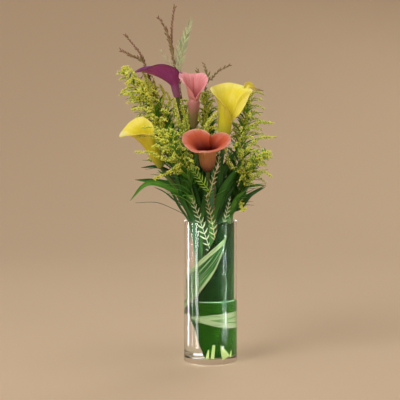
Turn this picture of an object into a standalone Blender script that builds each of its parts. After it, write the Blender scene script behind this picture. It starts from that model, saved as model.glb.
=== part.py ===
"""Calla lilies with goldenrod, toothed fronds and long leaves, standing in a clear glass cylinder vase.

Metres, +Z up. The origin is the centre of the vase's foot. The front faces -Y, and +X is to the right.
"""

import math
from dataclasses import dataclass

import bmesh
import bpy
import numpy as np

# ---- Driving dimensions, in metres ----

GAP = 0.0003  # between pieces that touch

VASE_RADIUS = 0.045
VASE_WALL = 0.003
VASE_HEIGHT = 0.2385
VASE_BASE = 0.010
VASE_EDGE = 0.0012  # rounding at the rim and the foot
BORE_RADIUS = VASE_RADIUS - VASE_WALL

WATER_LEVEL = 0.105

LEAF_SHEET = 0.0006  # thickness of the two leaves against the glass
COIL_RADIUS = BORE_RADIUS - GAP - LEAF_SHEET / 2 - 0.0002
LINING_RADIUS = COIL_RADIUS - LEAF_SHEET - GAP - 0.0003
WATER_RADIUS = LINING_RADIUS - LEAF_SHEET / 2 - GAP - 0.0003

# Every stem runs straight from its foot to the rim. The feet are the rim places drawn together by one
# scale about one centre, so no two stems cross inside the glass.
FOOT_SCALE = 0.6
FOOT_CENTRE = np.array([0.012, 0.002])
FOOT_LEVEL = VASE_BASE + GAP

CALLA_FOOT_RADIUS = 0.0036
CALLA_NECK_RADIUS = 0.0030
SPATHE_SHEET = 0.0008
SPATHE_SPIRAL = 0.0007  # how far one edge of the rolled sheet stands outside the other
SPATHE_LAP = 0.5  # radians by which the two edges overlap on the tube
SPADIX_RADIUS = 0.0024

GOLDENROD_FOOT_RADIUS = 0.0016
GOLDENROD_TOP_RADIUS = 0.0011
RACEME_RADIUS = 0.0034
GOLDEN_ANGLE = math.radians(137.5)

SPRIG_FOOT_RADIUS = 0.0013
SPRIG_TIP_RADIUS = 0.0008
BLADE_SHEET = 0.0007

MM = 0.001


# ---- Paths ----


def unit(vector):
    vector = np.asarray(vector, dtype=float)
    return vector / np.linalg.norm(vector)


def millimetres(points):
    return np.asarray(points, dtype=float) * MM


def smooth_path(points, count, start_direction=None, end_direction=None):
    """A cubic curve through the points, read at count places of equal parameter."""
    points = np.asarray(points, dtype=float)
    steps = np.diff(points, axis=0)
    slopes = np.empty_like(points)
    slopes[0] = steps[0]
    slopes[-1] = steps[-1]
    slopes[1:-1] = (steps[:-1] + steps[1:]) / 2
    if start_direction is not None:
        slopes[0] = unit(start_direction) * np.linalg.norm(steps[0])
    if end_direction is not None:
        slopes[-1] = unit(end_direction) * np.linalg.norm(steps[-1])
    places = np.linspace(0, len(steps), count)
    spans = np.minimum(places.astype(int), len(steps) - 1)
    t = (places - spans)[:, None]
    p0, p1, m0, m1 = points[spans], points[spans + 1], slopes[spans], slopes[spans + 1]
    return (
        (2 * t**3 - 3 * t**2 + 1) * p0
        + (t**3 - 2 * t**2 + t) * m0
        + (3 * t**2 - 2 * t**3) * p1
        + (t**3 - t**2) * m1
    )


def gathered(rim):
    """The foot that belongs to a rim place."""
    return FOOT_CENTRE + FOOT_SCALE * rim


def vase_point(foot, rim, level):
    """Where the straight stem from a foot to a rim place stands at a level inside the vase."""
    share = (level - FOOT_LEVEL) / (VASE_HEIGHT - FOOT_LEVEL)
    return np.array([*(foot + (rim - foot) * share), level])


def stem_path(foot, rim, above, count, end_direction=None):
    """A stem from the vase's floor, straight to the rim, then curving through the points above."""
    low = vase_point(foot, rim, FOOT_LEVEL + 0.001)
    top = vase_point(foot, rim, VASE_HEIGHT)
    curve = smooth_path([top, *above], count, top - low, end_direction)
    return np.vstack([low, (low + top) / 2, curve])


def tangents(path):
    ahead = np.vstack([path[1:], path[-1:]])
    behind = np.vstack([path[:1], path[:-1]])
    lines = ahead - behind
    return lines / np.linalg.norm(lines, axis=1)[:, None]


def at_height(path, level):
    """The point of a path where it passes a level."""
    last = next(i for i in range(1, len(path)) if path[i][2] >= level)
    low, high = path[last - 1], path[last]
    share = (level - low[2]) / (high[2] - low[2])
    return low + (high - low) * share


def square_to(direction, towards):
    """The unit vector nearest to towards that is square to direction."""
    direction = unit(direction)
    towards = np.asarray(towards, dtype=float)
    return unit(towards - direction * np.dot(direction, towards))


# ---- Clearance between the plumes and the rest ----


class Neighbours:
    """What stands in the bouquet so far, as points with a radius each."""

    def __init__(self):
        self.points = np.empty((0, 3))
        self.radii = np.empty(0)
        self.owners = np.empty(0, dtype=object)

    def add(self, points, radius, owner=""):
        points = np.asarray(points)
        self.points = np.vstack([self.points, points])
        self.radii = np.concatenate([self.radii, np.full(len(points), radius)])
        self.owners = np.concatenate([self.owners, np.full(len(points), owner, dtype=object)])

    def add_path(self, path, radius, owner="", step=0.003):
        lengths = np.linalg.norm(np.diff(path, axis=0), axis=1)
        for start, end, length in zip(path[:-1], path[1:], lengths):
            shares = np.linspace(0, 1, max(2, int(length / step) + 1))[:, None]
            self.add(start + (end - start) * shares, radius, owner)

    def clear_of(self, path, radius, owner, margin=0.0008):
        """Whether a branch of the owner's has room among everything that isn't the owner's own."""
        spans = np.linalg.norm(path[:, None, :] - self.points[None, :, :], axis=2)
        free = spans - self.radii[None, :] > radius + margin
        return bool((free | (self.owners == owner)[None, :]).all())


# ---- Making solids ----


def material(name, colour, roughness, metallic=0.0, alpha=1.0):
    made = bpy.data.materials.new(name)
    made.use_nodes = True
    shader = made.node_tree.nodes["Principled BSDF"]
    shader.inputs["Base Color"].default_value = (*colour, 1.0)
    shader.inputs["Roughness"].default_value = roughness
    shader.inputs["Metallic"].default_value = metallic
    shader.inputs["Alpha"].default_value = alpha
    made.diffuse_color = (*colour, 1.0)
    return made


def add_object(name, data, finish, hidden=False):
    made = bpy.data.objects.new(name, data)
    bpy.context.scene.collection.objects.link(made)
    if finish is not None:
        data.materials.append(finish)
    if hidden:
        made.hide_render = True
        made.display_type = "WIRE"
    return made


def mesh_object(name, shape, finish, smooth=True, hidden=False):
    """Turns a bmesh into an object."""
    bmesh.ops.recalc_face_normals(shape, faces=shape.faces)
    mesh = bpy.data.meshes.new(name)
    shape.to_mesh(mesh)
    shape.free()
    if smooth:
        mesh.shade_smooth()
        mesh.set_sharp_from_angle(angle=math.radians(40))
    return add_object(name, mesh, finish, hidden)


def tube(name, path, radii, finish, sides=8):
    """A round stem: a curve with a bevel, its ends capped."""
    curve = bpy.data.curves.new(name, "CURVE")
    curve.dimensions = "3D"
    curve.bevel_depth = float(max(radii))
    curve.bevel_resolution = (sides - 4) // 2
    curve.use_fill_caps = True
    spline = curve.splines.new("POLY")
    spline.points.add(len(path) - 1)
    for point, place, radius in zip(spline.points, path, radii):
        point.co = (*place, 1.0)
        point.radius = radius / curve.bevel_depth
    spline.use_smooth = True
    return add_object(name, curve, finish)


def sweep(shape, path, across, widths, depths, sides):
    """Adds a closed sweep to a bmesh: an oval of half width and half depth at each point of the path."""
    directions = tangents(path)
    angles = np.arange(sides) * 2 * math.pi / sides
    previous = None
    for place, direction, width, depth in zip(path, directions, widths, depths):
        side = square_to(direction, across)
        front = np.cross(direction, side)
        spokes = [side * width * math.cos(a) + front * depth * math.sin(a) for a in angles]
        ring = [shape.verts.new(place + spoke) for spoke in spokes]
        if previous is None:
            shape.faces.new(ring[::-1])
        else:
            for i in range(sides):
                j = (i + 1) % sides
                shape.faces.new((previous[i], previous[j], ring[j], ring[i]))
        previous = ring
    shape.faces.new(previous)


def sheet(name, grid, thickness, finish):
    """A leaf or petal: a grid of points joined into a sheet, which Solidify gives its thickness."""
    rows, columns = len(grid), len(grid[0])
    shape = bmesh.new()
    bmesh.ops.create_grid(shape, x_segments=columns - 1, y_segments=rows - 1, size=1.0)
    shape.verts.ensure_lookup_table()
    for index, vert in enumerate(shape.verts):
        vert.co = grid[index // columns][index % columns]
    made = mesh_object(name, shape, finish)
    solid = made.modifiers.new("thickness", "SOLIDIFY")
    solid.thickness = thickness
    solid.offset = 0.0
    solid.use_even_offset = True
    return made


# ---- The vase and the water ----


def build_vase(finish):
    """The glass: its section, rim and foot rounded, turned once round the axis."""
    shape = bmesh.new()
    e = VASE_EDGE
    section = [
        (0, 0),
        (VASE_RADIUS - e, 0),
        (VASE_RADIUS - 0.3 * e, 0.3 * e),
        (VASE_RADIUS, e),
        (VASE_RADIUS, VASE_HEIGHT - e),
        (VASE_RADIUS - VASE_WALL / 2, VASE_HEIGHT),
        (BORE_RADIUS, VASE_HEIGHT - e),
        (BORE_RADIUS, VASE_BASE + e),
        (BORE_RADIUS - e, VASE_BASE),
        (0, VASE_BASE),
    ]
    verts = [shape.verts.new((x, 0, z)) for x, z in section]
    edges = [shape.edges.new(pair) for pair in zip(verts, verts[1:])]
    bmesh.ops.spin(
        shape, geom=edges, cent=(0, 0, 0), axis=(0, 0, 1), angle=2 * math.pi, steps=48, use_merge=True
    )
    bmesh.ops.remove_doubles(shape, verts=shape.verts, dist=1e-6)
    return mesh_object("cylinder_vase", shape, finish)


def build_water(stems, finish):
    """The water within the lining leaf, with a clear hole round every stem that stands in it."""
    shape = bmesh.new()
    depth = WATER_LEVEL - FOOT_LEVEL
    made = bmesh.ops.create_cone(
        shape, cap_ends=True, segments=40, radius1=WATER_RADIUS, radius2=WATER_RADIUS, depth=depth
    )
    bmesh.ops.translate(shape, verts=made["verts"], vec=(0, 0, FOOT_LEVEL + depth / 2))
    water = mesh_object("water", shape, finish)
    holes = bmesh.new()
    reach = 0.004
    for stem in stems:
        low = vase_point(stem.foot, stem.rim, FOOT_LEVEL - reach)
        high = vase_point(stem.foot, stem.rim, WATER_LEVEL + reach)
        radius = stem.foot_radius + 2 * GAP
        sweep(holes, np.array([low, high]), (1, 0, 0), [radius] * 2, [radius] * 2, 8)
    cutter = mesh_object("water_holes", holes, None, smooth=False, hidden=True)
    cut = water.modifiers.new("stem holes", "BOOLEAN")
    cut.operation = "DIFFERENCE"
    cut.solver = "EXACT"
    cut.object = cutter


# ---- The two leaves against the glass ----


def on_glass(radius, turn, level):
    """A point at a radius from the axis, turned from +X in degrees."""
    angle = math.radians(turn)
    return (radius * math.cos(angle), radius * math.sin(angle), level)


def build_lining_leaf(finish):
    """The broad leaf round the front and right of the bore, its top leaning to the right."""
    levels = [0.022, 0.060, 0.110, 0.165, 0.190, 0.213, 0.226]
    lefts = [-110, -117, -119, -116, -97, -64, -45]
    rights = [14, 22, 25, 25, 22, 10, -20]
    edges = smooth_path(np.column_stack([levels, lefts, rights]), 13)
    grid = []
    for level, left, right in edges:
        grid.append([on_glass(LINING_RADIUS, turn, level) for turn in np.linspace(left, right, 15)])
    return sheet("lining_leaf", grid, LEAF_SHEET, finish)


def build_coiled_leaf(finish):
    """The striped leaf that winds one and a quarter times round inside the glass."""
    turns = [-52, -90, -135, -180, -225, -270, -315, -360, -405, -450, -500]
    middles = [0.211, 0.168, 0.141, 0.121, 0.108, 0.098, 0.086, 0.074, 0.073, 0.0755, 0.078]
    halves = [0.001, 0.018, 0.026, 0.030, 0.028, 0.024, 0.019, 0.0155, 0.0125, 0.0085, 0.001]
    spine = smooth_path(np.column_stack([turns, middles, halves]), 31)
    grid = []
    for turn, middle, half in spine:
        grid.append([on_glass(COIL_RADIUS, turn, middle + half * side) for side in (-1, 0, 1)])
    return sheet("coiled_leaf", grid, LEAF_SHEET, finish)


# ---- Calla lilies ----


@dataclass(frozen=True)
class Calla:
    """One calla lily. The rim lists go from one edge of the rolled sheet, past the tip, to the other."""

    name: str
    rim: np.ndarray  # place of the stem at the vase's rim
    above: tuple  # points that the stem passes on its way up, in millimetres
    axis: tuple  # direction of the tube
    tip_way: tuple  # side on which the tip stands
    reach: tuple  # distance of the rim from the tube's axis, in millimetres
    rise: tuple  # height of the rim above the stem's end, in millimetres
    lean: tuple  # direction in which the sheet leaves at the rim: degrees above square to the axis
    tube_radius: float
    throat: float  # share of the height at which the tube ends
    turn: tuple  # degrees round the tube, from the tip's side, of each value in the lists

    foot_radius = CALLA_FOOT_RADIUS

    @property
    def foot(self):
        return gathered(self.rim)

    def stem(self):
        return stem_path(self.foot, self.rim, millimetres(self.above), 11, self.axis)


def frame_of(calla):
    """The head's origin and its three directions: the tip's side, the other side, and up the tube."""
    up = unit(calla.axis)
    tip = square_to(up, calla.tip_way)
    return millimetres(calla.above[-1]), tip, np.cross(up, tip), up


def rim_value(values, u):
    """Reads a rim list at u, from -1 to 1, on a smooth curve through its values."""
    places = np.linspace(-1, 1, len(values))
    rows = np.column_stack([places, values])
    read = smooth_path(rows, 8 * (len(values) - 1) + 1)
    return float(np.interp(u, read[:, 0], read[:, 1]))


def spathe_point(calla, u, v):
    """A point of the rolled sheet: u from edge to edge, v from the base to the rim."""
    reach = rim_value(calla.reach, u) * MM
    rise = rim_value(calla.rise, u) * MM
    lean = math.radians(rim_value(calla.lean, u))
    base = np.array([CALLA_NECK_RADIUS + GAP + SPATHE_SHEET + SPATHE_SPIRAL, -0.002])
    rim = np.array([reach, rise])
    throat = np.array([calla.tube_radius, max(calla.rise) * MM * calla.throat])
    pull = 0.45 * np.linalg.norm(rim - throat)
    flare = rim - pull * np.array([math.cos(lean), math.sin(lean)])
    shoulder = np.array([calla.tube_radius, throat[1] * 0.5])
    if v < 0.35:
        t = v / 0.35
        point = (1 - t) ** 2 * base + 2 * t * (1 - t) * shoulder + t**2 * throat
    else:
        t = (v - 0.35) / 0.65
        above = throat + (throat - shoulder) * 0.6 * min(1.0, pull / 0.008)
        point = (1 - t) ** 3 * throat + 3 * t * (1 - t) ** 2 * above
        point += 3 * t**2 * (1 - t) * flare + t**3 * rim
    radius, height = point
    radius += SPATHE_SPIRAL * u
    lap = SPATHE_LAP / 2 * (1 - min(1.0, v / 0.6))
    turn = math.radians(rim_value(calla.turn, u)) + u * lap
    origin, tip, side, up = frame_of(calla)
    return origin + up * height + (tip * math.cos(turn) + side * math.sin(turn)) * radius


def build_calla(calla, finishes, neighbours):
    """One flower: its stem, its spathe clasping the stem's end, and its spadix on that end."""
    path = calla.stem()
    radii = np.linspace(CALLA_FOOT_RADIUS, CALLA_NECK_RADIUS, len(path))
    tube(f"{calla.name}_stem", path, radii, finishes["stem"])
    neighbours.add_path(path, CALLA_FOOT_RADIUS)
    columns, rows = 19, 8
    grid = [
        [spathe_point(calla, 2 * c / (columns - 1) - 1, r / (rows - 1)) for c in range(columns)]
        for r in range(rows)
    ]
    sheet(f"{calla.name}_spathe", grid, SPATHE_SHEET, finishes[calla.name])
    dense = [spathe_point(calla, u, v) for u in np.linspace(-1, 1, 41) for v in np.linspace(0, 1, 21)]
    neighbours.add(dense, 0.0025)
    origin, tip, _, up = frame_of(calla)
    length = 0.42 * max(calla.rise) * MM
    shares = np.array([0, 0.08, 0.3, 0.6, 0.85, 0.97, 1.0])
    widths = SPADIX_RADIUS * np.array([0.75, 0.9, 1.0, 0.95, 0.75, 0.45, 0.15])
    shape = bmesh.new()
    sweep(shape, origin + up * (2 * GAP + shares[:, None] * length), tip, widths, widths, 8)
    mesh_object(f"{calla.name}_spadix", shape, finishes["spadix"])


# ---- Goldenrod ----


@dataclass(frozen=True)
class Goldenrod:
    """One goldenrod: its stem up to the first flowers, then the plume's own axis with arching racemes."""

    name: str
    rim: np.ndarray
    above: tuple  # the stem above the rim, in millimetres; its last point is the plume's foot
    plume: tuple  # the plume's axis from that foot to its tip, in millimetres
    racemes: int
    length: float  # of the lowest racemes
    first: float  # degrees round the axis of the first raceme

    foot_radius = GOLDENROD_FOOT_RADIUS

    @property
    def foot(self):
        return gathered(self.rim)

    def stem(self):
        return stem_path(self.foot, self.rim, millimetres(self.above), 9)


def raceme_path(axis, share, turn, length):
    """An arching side branch: it leaves the axis upwards and droops at its tip."""
    place = share * (len(axis) - 1)
    low = min(int(place), len(axis) - 2)
    start = axis[low] + (axis[low + 1] - axis[low]) * (place - low)
    direction = unit(axis[low + 1] - axis[low])
    side = square_to(direction, (1, 0.2, 0))
    out = side * math.cos(turn) + np.cross(direction, side) * math.sin(turn)
    out = unit(out * (1, 1, 0.3))
    way = unit(out + 0.9 * direction)
    middle = start + way * length * 0.55
    tip = middle + unit(out + (0, 0, -0.15)) * length * 0.5
    return smooth_path([start, middle, tip], 4, way)


def build_goldenrod(rod, finishes, neighbours):
    """The stem, and the room that the plume's axis takes up."""
    path = rod.stem()
    radii = np.linspace(GOLDENROD_FOOT_RADIUS, GOLDENROD_TOP_RADIUS, len(path))
    tube(f"{rod.name}_stem", path, radii, finishes["stem"], 6)
    neighbours.add_path(path, GOLDENROD_FOOT_RADIUS, rod.name)
    neighbours.add_path(plume_axis(rod), RACEME_RADIUS, rod.name)


def plume_axis(rod):
    """The plume's axis, which starts a gap above the stem's end."""
    axis = smooth_path(millimetres([rod.above[-1], *rod.plume]), 9)
    axis[0] = axis[0] + unit(axis[1] - axis[0]) * 2 * GAP
    return axis


def build_plume(rod, finishes, neighbours):
    """The plume: its axis and every raceme that has room, joined into one solid."""
    axis = plume_axis(rod)
    core = bmesh.new()
    core_widths = np.linspace(GOLDENROD_TOP_RADIUS, RACEME_RADIUS * 0.8, len(axis))
    core_widths[-1] = 0.001
    sweep(core, axis, (1, 0.2, 0), core_widths, core_widths, 6)
    plume = mesh_object(f"{rod.name}_plume", core, finishes["plume"])
    branches = bmesh.new()
    widths = RACEME_RADIUS * np.array([0.4, 1.0, 1.0, 0.35])
    for index in range(rod.racemes):
        share = 0.06 + 0.84 * index / (rod.racemes - 1)
        turn = math.radians(rod.first) + index * GOLDEN_ANGLE
        for shrink in (1.0, 0.75, 0.5):
            length = rod.length * (1 - 0.5 * share) * shrink
            path = raceme_path(axis, share, turn, length)
            if neighbours.clear_of(path[1:], RACEME_RADIUS, rod.name):
                sweep(branches, path, (0, 0, 1), widths, widths, 5)
                neighbours.add_path(path, RACEME_RADIUS, rod.name)
                break
    operand = mesh_object(f"{rod.name}_racemes", branches, None, smooth=False, hidden=True)
    union = plume.modifiers.new("racemes", "BOOLEAN")
    union.operation = "UNION"
    union.solver = "EXACT"
    union.use_self = True
    union.object = operand


# ---- Sprigs, fronds and leaves ----


@dataclass(frozen=True)
class Sprig:
    """A woody sprig with its own foot in the vase, and twigs that leave it."""

    name: str
    rim: np.ndarray
    above: tuple
    twigs: tuple = ()

    foot_radius = SPRIG_FOOT_RADIUS

    @property
    def foot(self):
        return gathered(self.rim)

    def stem(self):
        return stem_path(self.foot, self.rim, millimetres(self.above), 12)


def build_sprig(sprig, finishes, neighbours):
    path = sprig.stem()
    widths = np.linspace(SPRIG_FOOT_RADIUS, SPRIG_TIP_RADIUS, len(path))
    shape = bmesh.new()
    sweep(shape, path, (1, 0, 0), widths, widths, 6)
    made = mesh_object(sprig.name, shape, finishes["sprig"])
    neighbours.add_path(path, 0.003)
    if not sprig.twigs:
        return
    branches = bmesh.new()
    for twig in sprig.twigs:
        route = smooth_path(millimetres(twig), 6)
        narrow = np.linspace(SPRIG_TIP_RADIUS * 0.9, SPRIG_TIP_RADIUS * 0.6, len(route))
        sweep(branches, route, (0, 1, 0), narrow, narrow, 5)
        neighbours.add_path(route, 0.003)
    operand = mesh_object(f"{sprig.name}_twigs", branches, None, smooth=False, hidden=True)
    union = made.modifiers.new("twigs", "BOOLEAN")
    union.operation = "UNION"
    union.solver = "EXACT"
    union.use_self = True
    union.object = operand


@dataclass(frozen=True)
class Frond:
    """A toothed frond on its own stalk, standing in the front of the vase."""

    name: str
    foot: np.ndarray
    rim: np.ndarray
    above: tuple
    width: float  # across the teeth, in millimetres
    finish: str

    foot_radius = SPRIG_FOOT_RADIUS

    def stem(self):
        return stem_path(self.foot, self.rim, millimetres(self.above), 7)


def build_frond(frond, finishes, neighbours):
    """One solid: a round stalk up to just under the rim, then a flat blade as wide as its teeth."""
    path = frond.stem()
    low, top = path[0], path[2]
    shares = (0.0, 0.35, 0.78, 0.82, 0.92)
    path = np.vstack([[low + (top - low) * share for share in shares], path[2:]])
    half = frond.width * MM / 2
    blade = len(path) - 3
    taper = np.cos(np.pi / 2 * np.linspace(0, 0.93, blade)) ** 0.6
    widths = np.concatenate([[SPRIG_FOOT_RADIUS] * 3, half * taper])
    depths = np.concatenate([[SPRIG_FOOT_RADIUS] * 3, np.full(blade, BLADE_SHEET)])
    shape = bmesh.new()
    sweep(shape, path, (1, 0.1, 0), widths, depths, 6)
    mesh_object(frond.name, shape, finishes[frond.finish])
    neighbours.add_path(path, 0.003)


@dataclass(frozen=True)
class Blade:
    """A leaf or a frond that grows from a stem: seated at a level, then through the points to its tip."""

    name: str
    carrier: str  # the stem that it grows from
    level: float | None  # height of its seat, in millimetres; None seats it on the carrier's end
    points: tuple
    width: float  # full width at its widest, in millimetres
    face: tuple  # the side that its broad face looks to
    finish: str
    widest: float = 0.45  # share of the length at which it is widest


def build_blade(blade, paths, finishes, neighbours):
    """A long leaf: a thin oval section that swells to its widest and runs out to a point."""
    path, radius = paths[blade.carrier]
    points = millimetres(blade.points)
    if blade.level is None:
        start = path[-1] + unit(points[0] - path[-1]) * 2 * GAP
    else:
        seat = at_height(path, blade.level * MM)
        way = unit((points[0] - seat) * (1, 1, 0.2))
        start = seat + way * (radius + GAP + 0.0006)
    route = smooth_path([start, *points], 10)
    shares = np.linspace(0, 1, len(route))
    rising = np.sin(np.pi / 2 * np.minimum(1, shares / blade.widest))
    falling = np.cos(np.pi / 2 * np.maximum(0, (shares - blade.widest) / (1 - blade.widest)))
    half = blade.width * MM / 2
    widths = np.maximum(0.0006, half * rising**1.3 * falling**0.8)
    depths = np.linspace(BLADE_SHEET, 0.0003, len(route))
    across = np.cross(route[-1] - route[0], blade.face)
    shape = bmesh.new()
    sweep(shape, route, across, widths, depths, 6)
    mesh_object(blade.name, shape, finishes[blade.finish])
    neighbours.add_path(route, 0.003)
    paths[blade.name] = (route, 0.0016)


# ---- What stands in the vase ----


def rim_place(x, y):
    return np.array([x, y]) * MM


EVEN_TURN = (-180, -135, -90, -45, 0, 45, 90, 135, 180)

CALLAS = (
    Calla(
        name="coral_calla",
        rim=rim_place(-3, -23),
        above=((-4, -36, 282), (-5.5, -50, 325.5)),
        axis=(-0.03, -0.36, 0.93),
        tip_way=(-0.25, -1, 0),
        reach=(15, 36, 40, 34, 28, 34, 38, 34, 15),
        rise=(57, 62, 55, 45, 42, 46, 53, 57, 56),
        lean=(60, 35, 10, 0, -10, 0, 10, 35, 60),
        tube_radius=0.0115,
        throat=0.42,
        turn=(-188, -130, -84, -40, 0, 52, 102, 138, 172),
    ),
    Calla(
        name="pink_calla",
        rim=rim_place(-12, -7),
        above=((-21, -11, 320), (-28.6, -14, 397)),
        axis=(0.02, -0.05, 1),
        tip_way=(-0.3, 1, 0),
        reach=(6, 15, 23.5, 26, 22, 26, 23.5, 15, 6),
        rise=(46, 62, 78, 90, 87, 90, 78, 62, 46),
        lean=(85, 60, 40, 50, 60, 50, 40, 60, 85),
        tube_radius=0.0098,
        throat=0.45,
        turn=EVEN_TURN,
    ),
    Calla(
        name="yellow_right_calla",
        rim=rim_place(8, -5),
        above=((15, -5, 310), (22, -4, 372)),
        axis=(0.06, -0.05, 0.98),
        tip_way=(-0.9, 0.42, 0),
        reach=(12, 24, 33, 43, 60, 24, 26, 27, 11),
        rise=(35, 49, 64, 81, 86, 99, 91, 79, 29),
        lean=(80, 60, 55, 40, 0, 55, 50, 45, 80),
        tube_radius=0.0108,
        throat=0.3,
        turn=(-180, -170, -160, -152, -140, -75, 0, 62, 180),
    ),
    Calla(
        name="purple_calla",
        rim=rim_place(-13, 8),
        above=((-33, 12, 350), (-57, 14, 448)),
        axis=(-0.2, -0.1, 0.97),
        tip_way=(-0.9, -0.4, 0),
        reach=(7, 10, 16, 36, 63, 36, 16, 10, 7),
        rise=(30, 38, 48, 61, 52, 61, 48, 38, 30),
        lean=(80, 60, 40, 0, -30, 0, 40, 60, 80),
        tube_radius=0.0062,
        throat=0.3,
        turn=EVEN_TURN,
    ),
    Calla(
        name="yellow_left_calla",
        rim=rim_place(-29, -13),
        above=((-48, -20, 285), (-83.5, -32, 332)),
        axis=(-0.4, -0.3, 0.866),
        tip_way=(-1, 0.1, 0),
        reach=(12, 20, 23, 30, 40, 31, 23, 20, 12),
        rise=(50, 69, 83, 83, 74, 76, 71, 60, 50),
        lean=(70, 55, 35, 15, 0, 15, 35, 55, 70),
        tube_radius=0.0095,
        throat=0.3,
        turn=EVEN_TURN,
    ),
)

GOLDENRODS = (
    Goldenrod("goldenrod_1", rim_place(-31, 3), ((-44, 5, 285), (-64, 7, 330)),
              ((-98, 9, 425), (-149, 4, 490)), 12, 0.040, 200),
    Goldenrod("goldenrod_2", rim_place(-26, 15), ((-42, 24, 290), (-62, 32, 330)),
              ((-95, 38, 400), (-139, 40, 457)), 12, 0.040, 160),
    Goldenrod("goldenrod_3", rim_place(-17, 23), ((-32, 32, 290), (-50, 38, 340)),
              ((-78, 37, 410), (-113, 31, 474)), 11, 0.036, 240),
    Goldenrod("goldenrod_4", rim_place(-4, 17), ((-12, 22, 290), (-22, 27, 335)),
              ((-31, 32, 390), (-38, 34, 438)), 10, 0.034, 150),
    Goldenrod("goldenrod_5", rim_place(6, 10), ((2, 15, 290), (-2, 19, 335)),
              ((-4, 22, 400), (-8, 20, 452)), 10, 0.034, 260),
    Goldenrod("goldenrod_6", rim_place(24, 12), ((36, 16, 285), (46, 18, 325)),
              ((56, 18, 390), (66, 14, 450)), 13, 0.052, -20),
    Goldenrod("goldenrod_7", rim_place(32, -3), ((42, -8, 268), (52, -12, 292)),
              ((70, -16, 330), (92, -18, 352)), 9, 0.036, -60),
    Goldenrod("goldenrod_8", rim_place(-19, -24), ((-28, -38, 280), (-38, -52, 315)),
              ((-54, -62, 355), (-72, -60, 388)), 10, 0.032, 180),
)

SPRIGS = (
    Sprig("top_brown_sprig", rim_place(-9, 27),
          ((-28, 35, 340), (-50, 28, 433), (-58, 29, 486),
           (-65, 30, 520), (-66, 27, 560), (-61, 22, 598)),
          (((-62.5, 30, 508), (-69, 22, 541), (-78, 16, 565), (-88, 10, 580)),)),
    Sprig("left_brown_sprig", rim_place(-24, 7),
          ((-58, 19, 340), (-88, 23, 430), (-112, 22, 505), (-126, 19, 529), (-145, 16, 551)),
          (((-110, 22, 500), (-121, 18, 511), (-133, 14, 516), (-152, 12, 525)),)),
    Sprig("right_green_sprig", rim_place(3, 22),
          ((-3, 30, 340), (-9, 28, 458), (3, 26, 479), (15, 24, 491), (31, 22, 500)),
          (((-4, 27, 470), (-5, 28, 482), (-8, 30, 494), (-11, 32, 504)),)),
    Sprig("silver_stalk", rim_place(-1, 33), ((-20, 42, 340), (-46, 42, 433), (-54, 38, 478))),
)

FRONDS = (
    Frond("rim_silver_frond", rim_place(6, -31), rim_place(-16, -32),
          ((-24, -41, 262), (-33, -46, 281)), 11, "silver"),
    Frond("rim_tan_frond", rim_place(21, -26), rim_place(2, -34),
          ((-3, -41, 262), (-7, -45, 284)), 11, "tan"),
    Frond("rim_pale_frond", rim_place(32, -12), rim_place(23, -24),
          ((27, -26, 260), (33, -28, 281)), 9, "silver"),
)

BLADES = (
    Blade("silver_frond", "silver_stalk", None, ((-53, 34, 500), (-46, 31, 536), (-33, 28, 577)),
          17, (0.1, -1, 0), "silver"),
    Blade("silver_frond_small", "top_brown_sprig", 500, ((-56, 26, 516), (-54, 25, 541)),
          9, (0, -1, 0), "silver"),
    Blade("pale_frond_left", "top_brown_sprig", 486, ((-70, 25, 505), (-85, 20, 527)),
          7, (0, -1, 0), "silver"),
    Blade("tan_sprig", "rim_tan_frond", None, ((-1, -47, 294), (7, -50, 312), (12, -52, 332)),
          7, (0, -1, 0), "tan"),
    Blade("needle_sprig", "tan_sprig", 289, ((-13, -49, 299), (-22, -51, 312), (-35, -52, 329)),
          10, (0, -1, 0), "leaf"),
    Blade("left_leaf_1", "goldenrod_1_stem", 316, ((-72, -6, 323), (-92, -12, 329), (-116, -16, 328)),
          6, (0, 0.3, 1), "leaf"),
    Blade("left_leaf_2", "goldenrod_1_stem", 248,
          ((-47, -8, 278), (-66, -14, 297), (-95, -18, 305), (-126, -22, 308)),
          14, (0, -1, 0.3), "leaf", 0.35),
    Blade("left_leaf_3", "yellow_left_calla_stem", 262,
          ((-62, -34, 290), (-92, -36, 303), (-112, -36, 298), (-133, -36, 274)),
          9, (0.2, -1, 0.2), "leaf"),
    Blade("left_leaf_4", "goldenrod_2_stem", 252, ((-58, 14, 268), (-78, 10, 285), (-95, 8, 294)),
          9, (0.5, 0.3, 1), "leaf"),
    Blade("left_grass_leaf", "yellow_left_calla_stem", 243,
          ((-60, -20, 258), (-90, -26, 270), (-125, -30, 270)),
          3, (0, 0, 1), "leaf"),
    Blade("centre_leaf_1", "goldenrod_8_stem", 256, ((-36, -34, 282), (-46, -38, 318), (-51, -38, 350)),
          14, (0.2, -1, 0), "leaf"),
    Blade("centre_leaf_2", "goldenrod_8_stem", 248, ((-13, -28, 272), (-18, -32, 302), (-27, -37, 335)),
          12, (0, -1, 0), "leaf"),
    Blade("centre_leaf_3", "coral_calla_stem", 262, ((5, -38, 285), (4, -41, 305), (5, -43, 328)),
          7, (0, -1, 0), "leaf"),
    Blade("broad_dark_leaf", "goldenrod_7_stem", 256, ((26, -22, 285), (34, -24, 310), (42, -24, 336)),
          14, (0, -1, 0), "leaf"),
    Blade("right_leaf_1", "goldenrod_7_stem", 276, ((56, -22, 292), (74, -26, 298), (92, -28, 298)),
          8, (0, -0.4, 1), "leaf"),
    Blade("right_leaf_2", "goldenrod_7_stem", 252, ((50, -14, 262), (66, -20, 282), (90, -26, 296)),
          8, (0, -1, 0.4), "leaf"),
    Blade("right_leaf_3", "goldenrod_6_stem", 262, ((46, 8, 275), (56, 4, 290), (64, 2, 312)),
          12, (0, -1, 0.2), "leaf"),
    Blade("right_leaf_4", "goldenrod_6_stem", 312, ((56, 10, 330), (68, 6, 337), (82, 4, 328)),
          8, (0, -0.4, 1), "leaf"),
)


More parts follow.
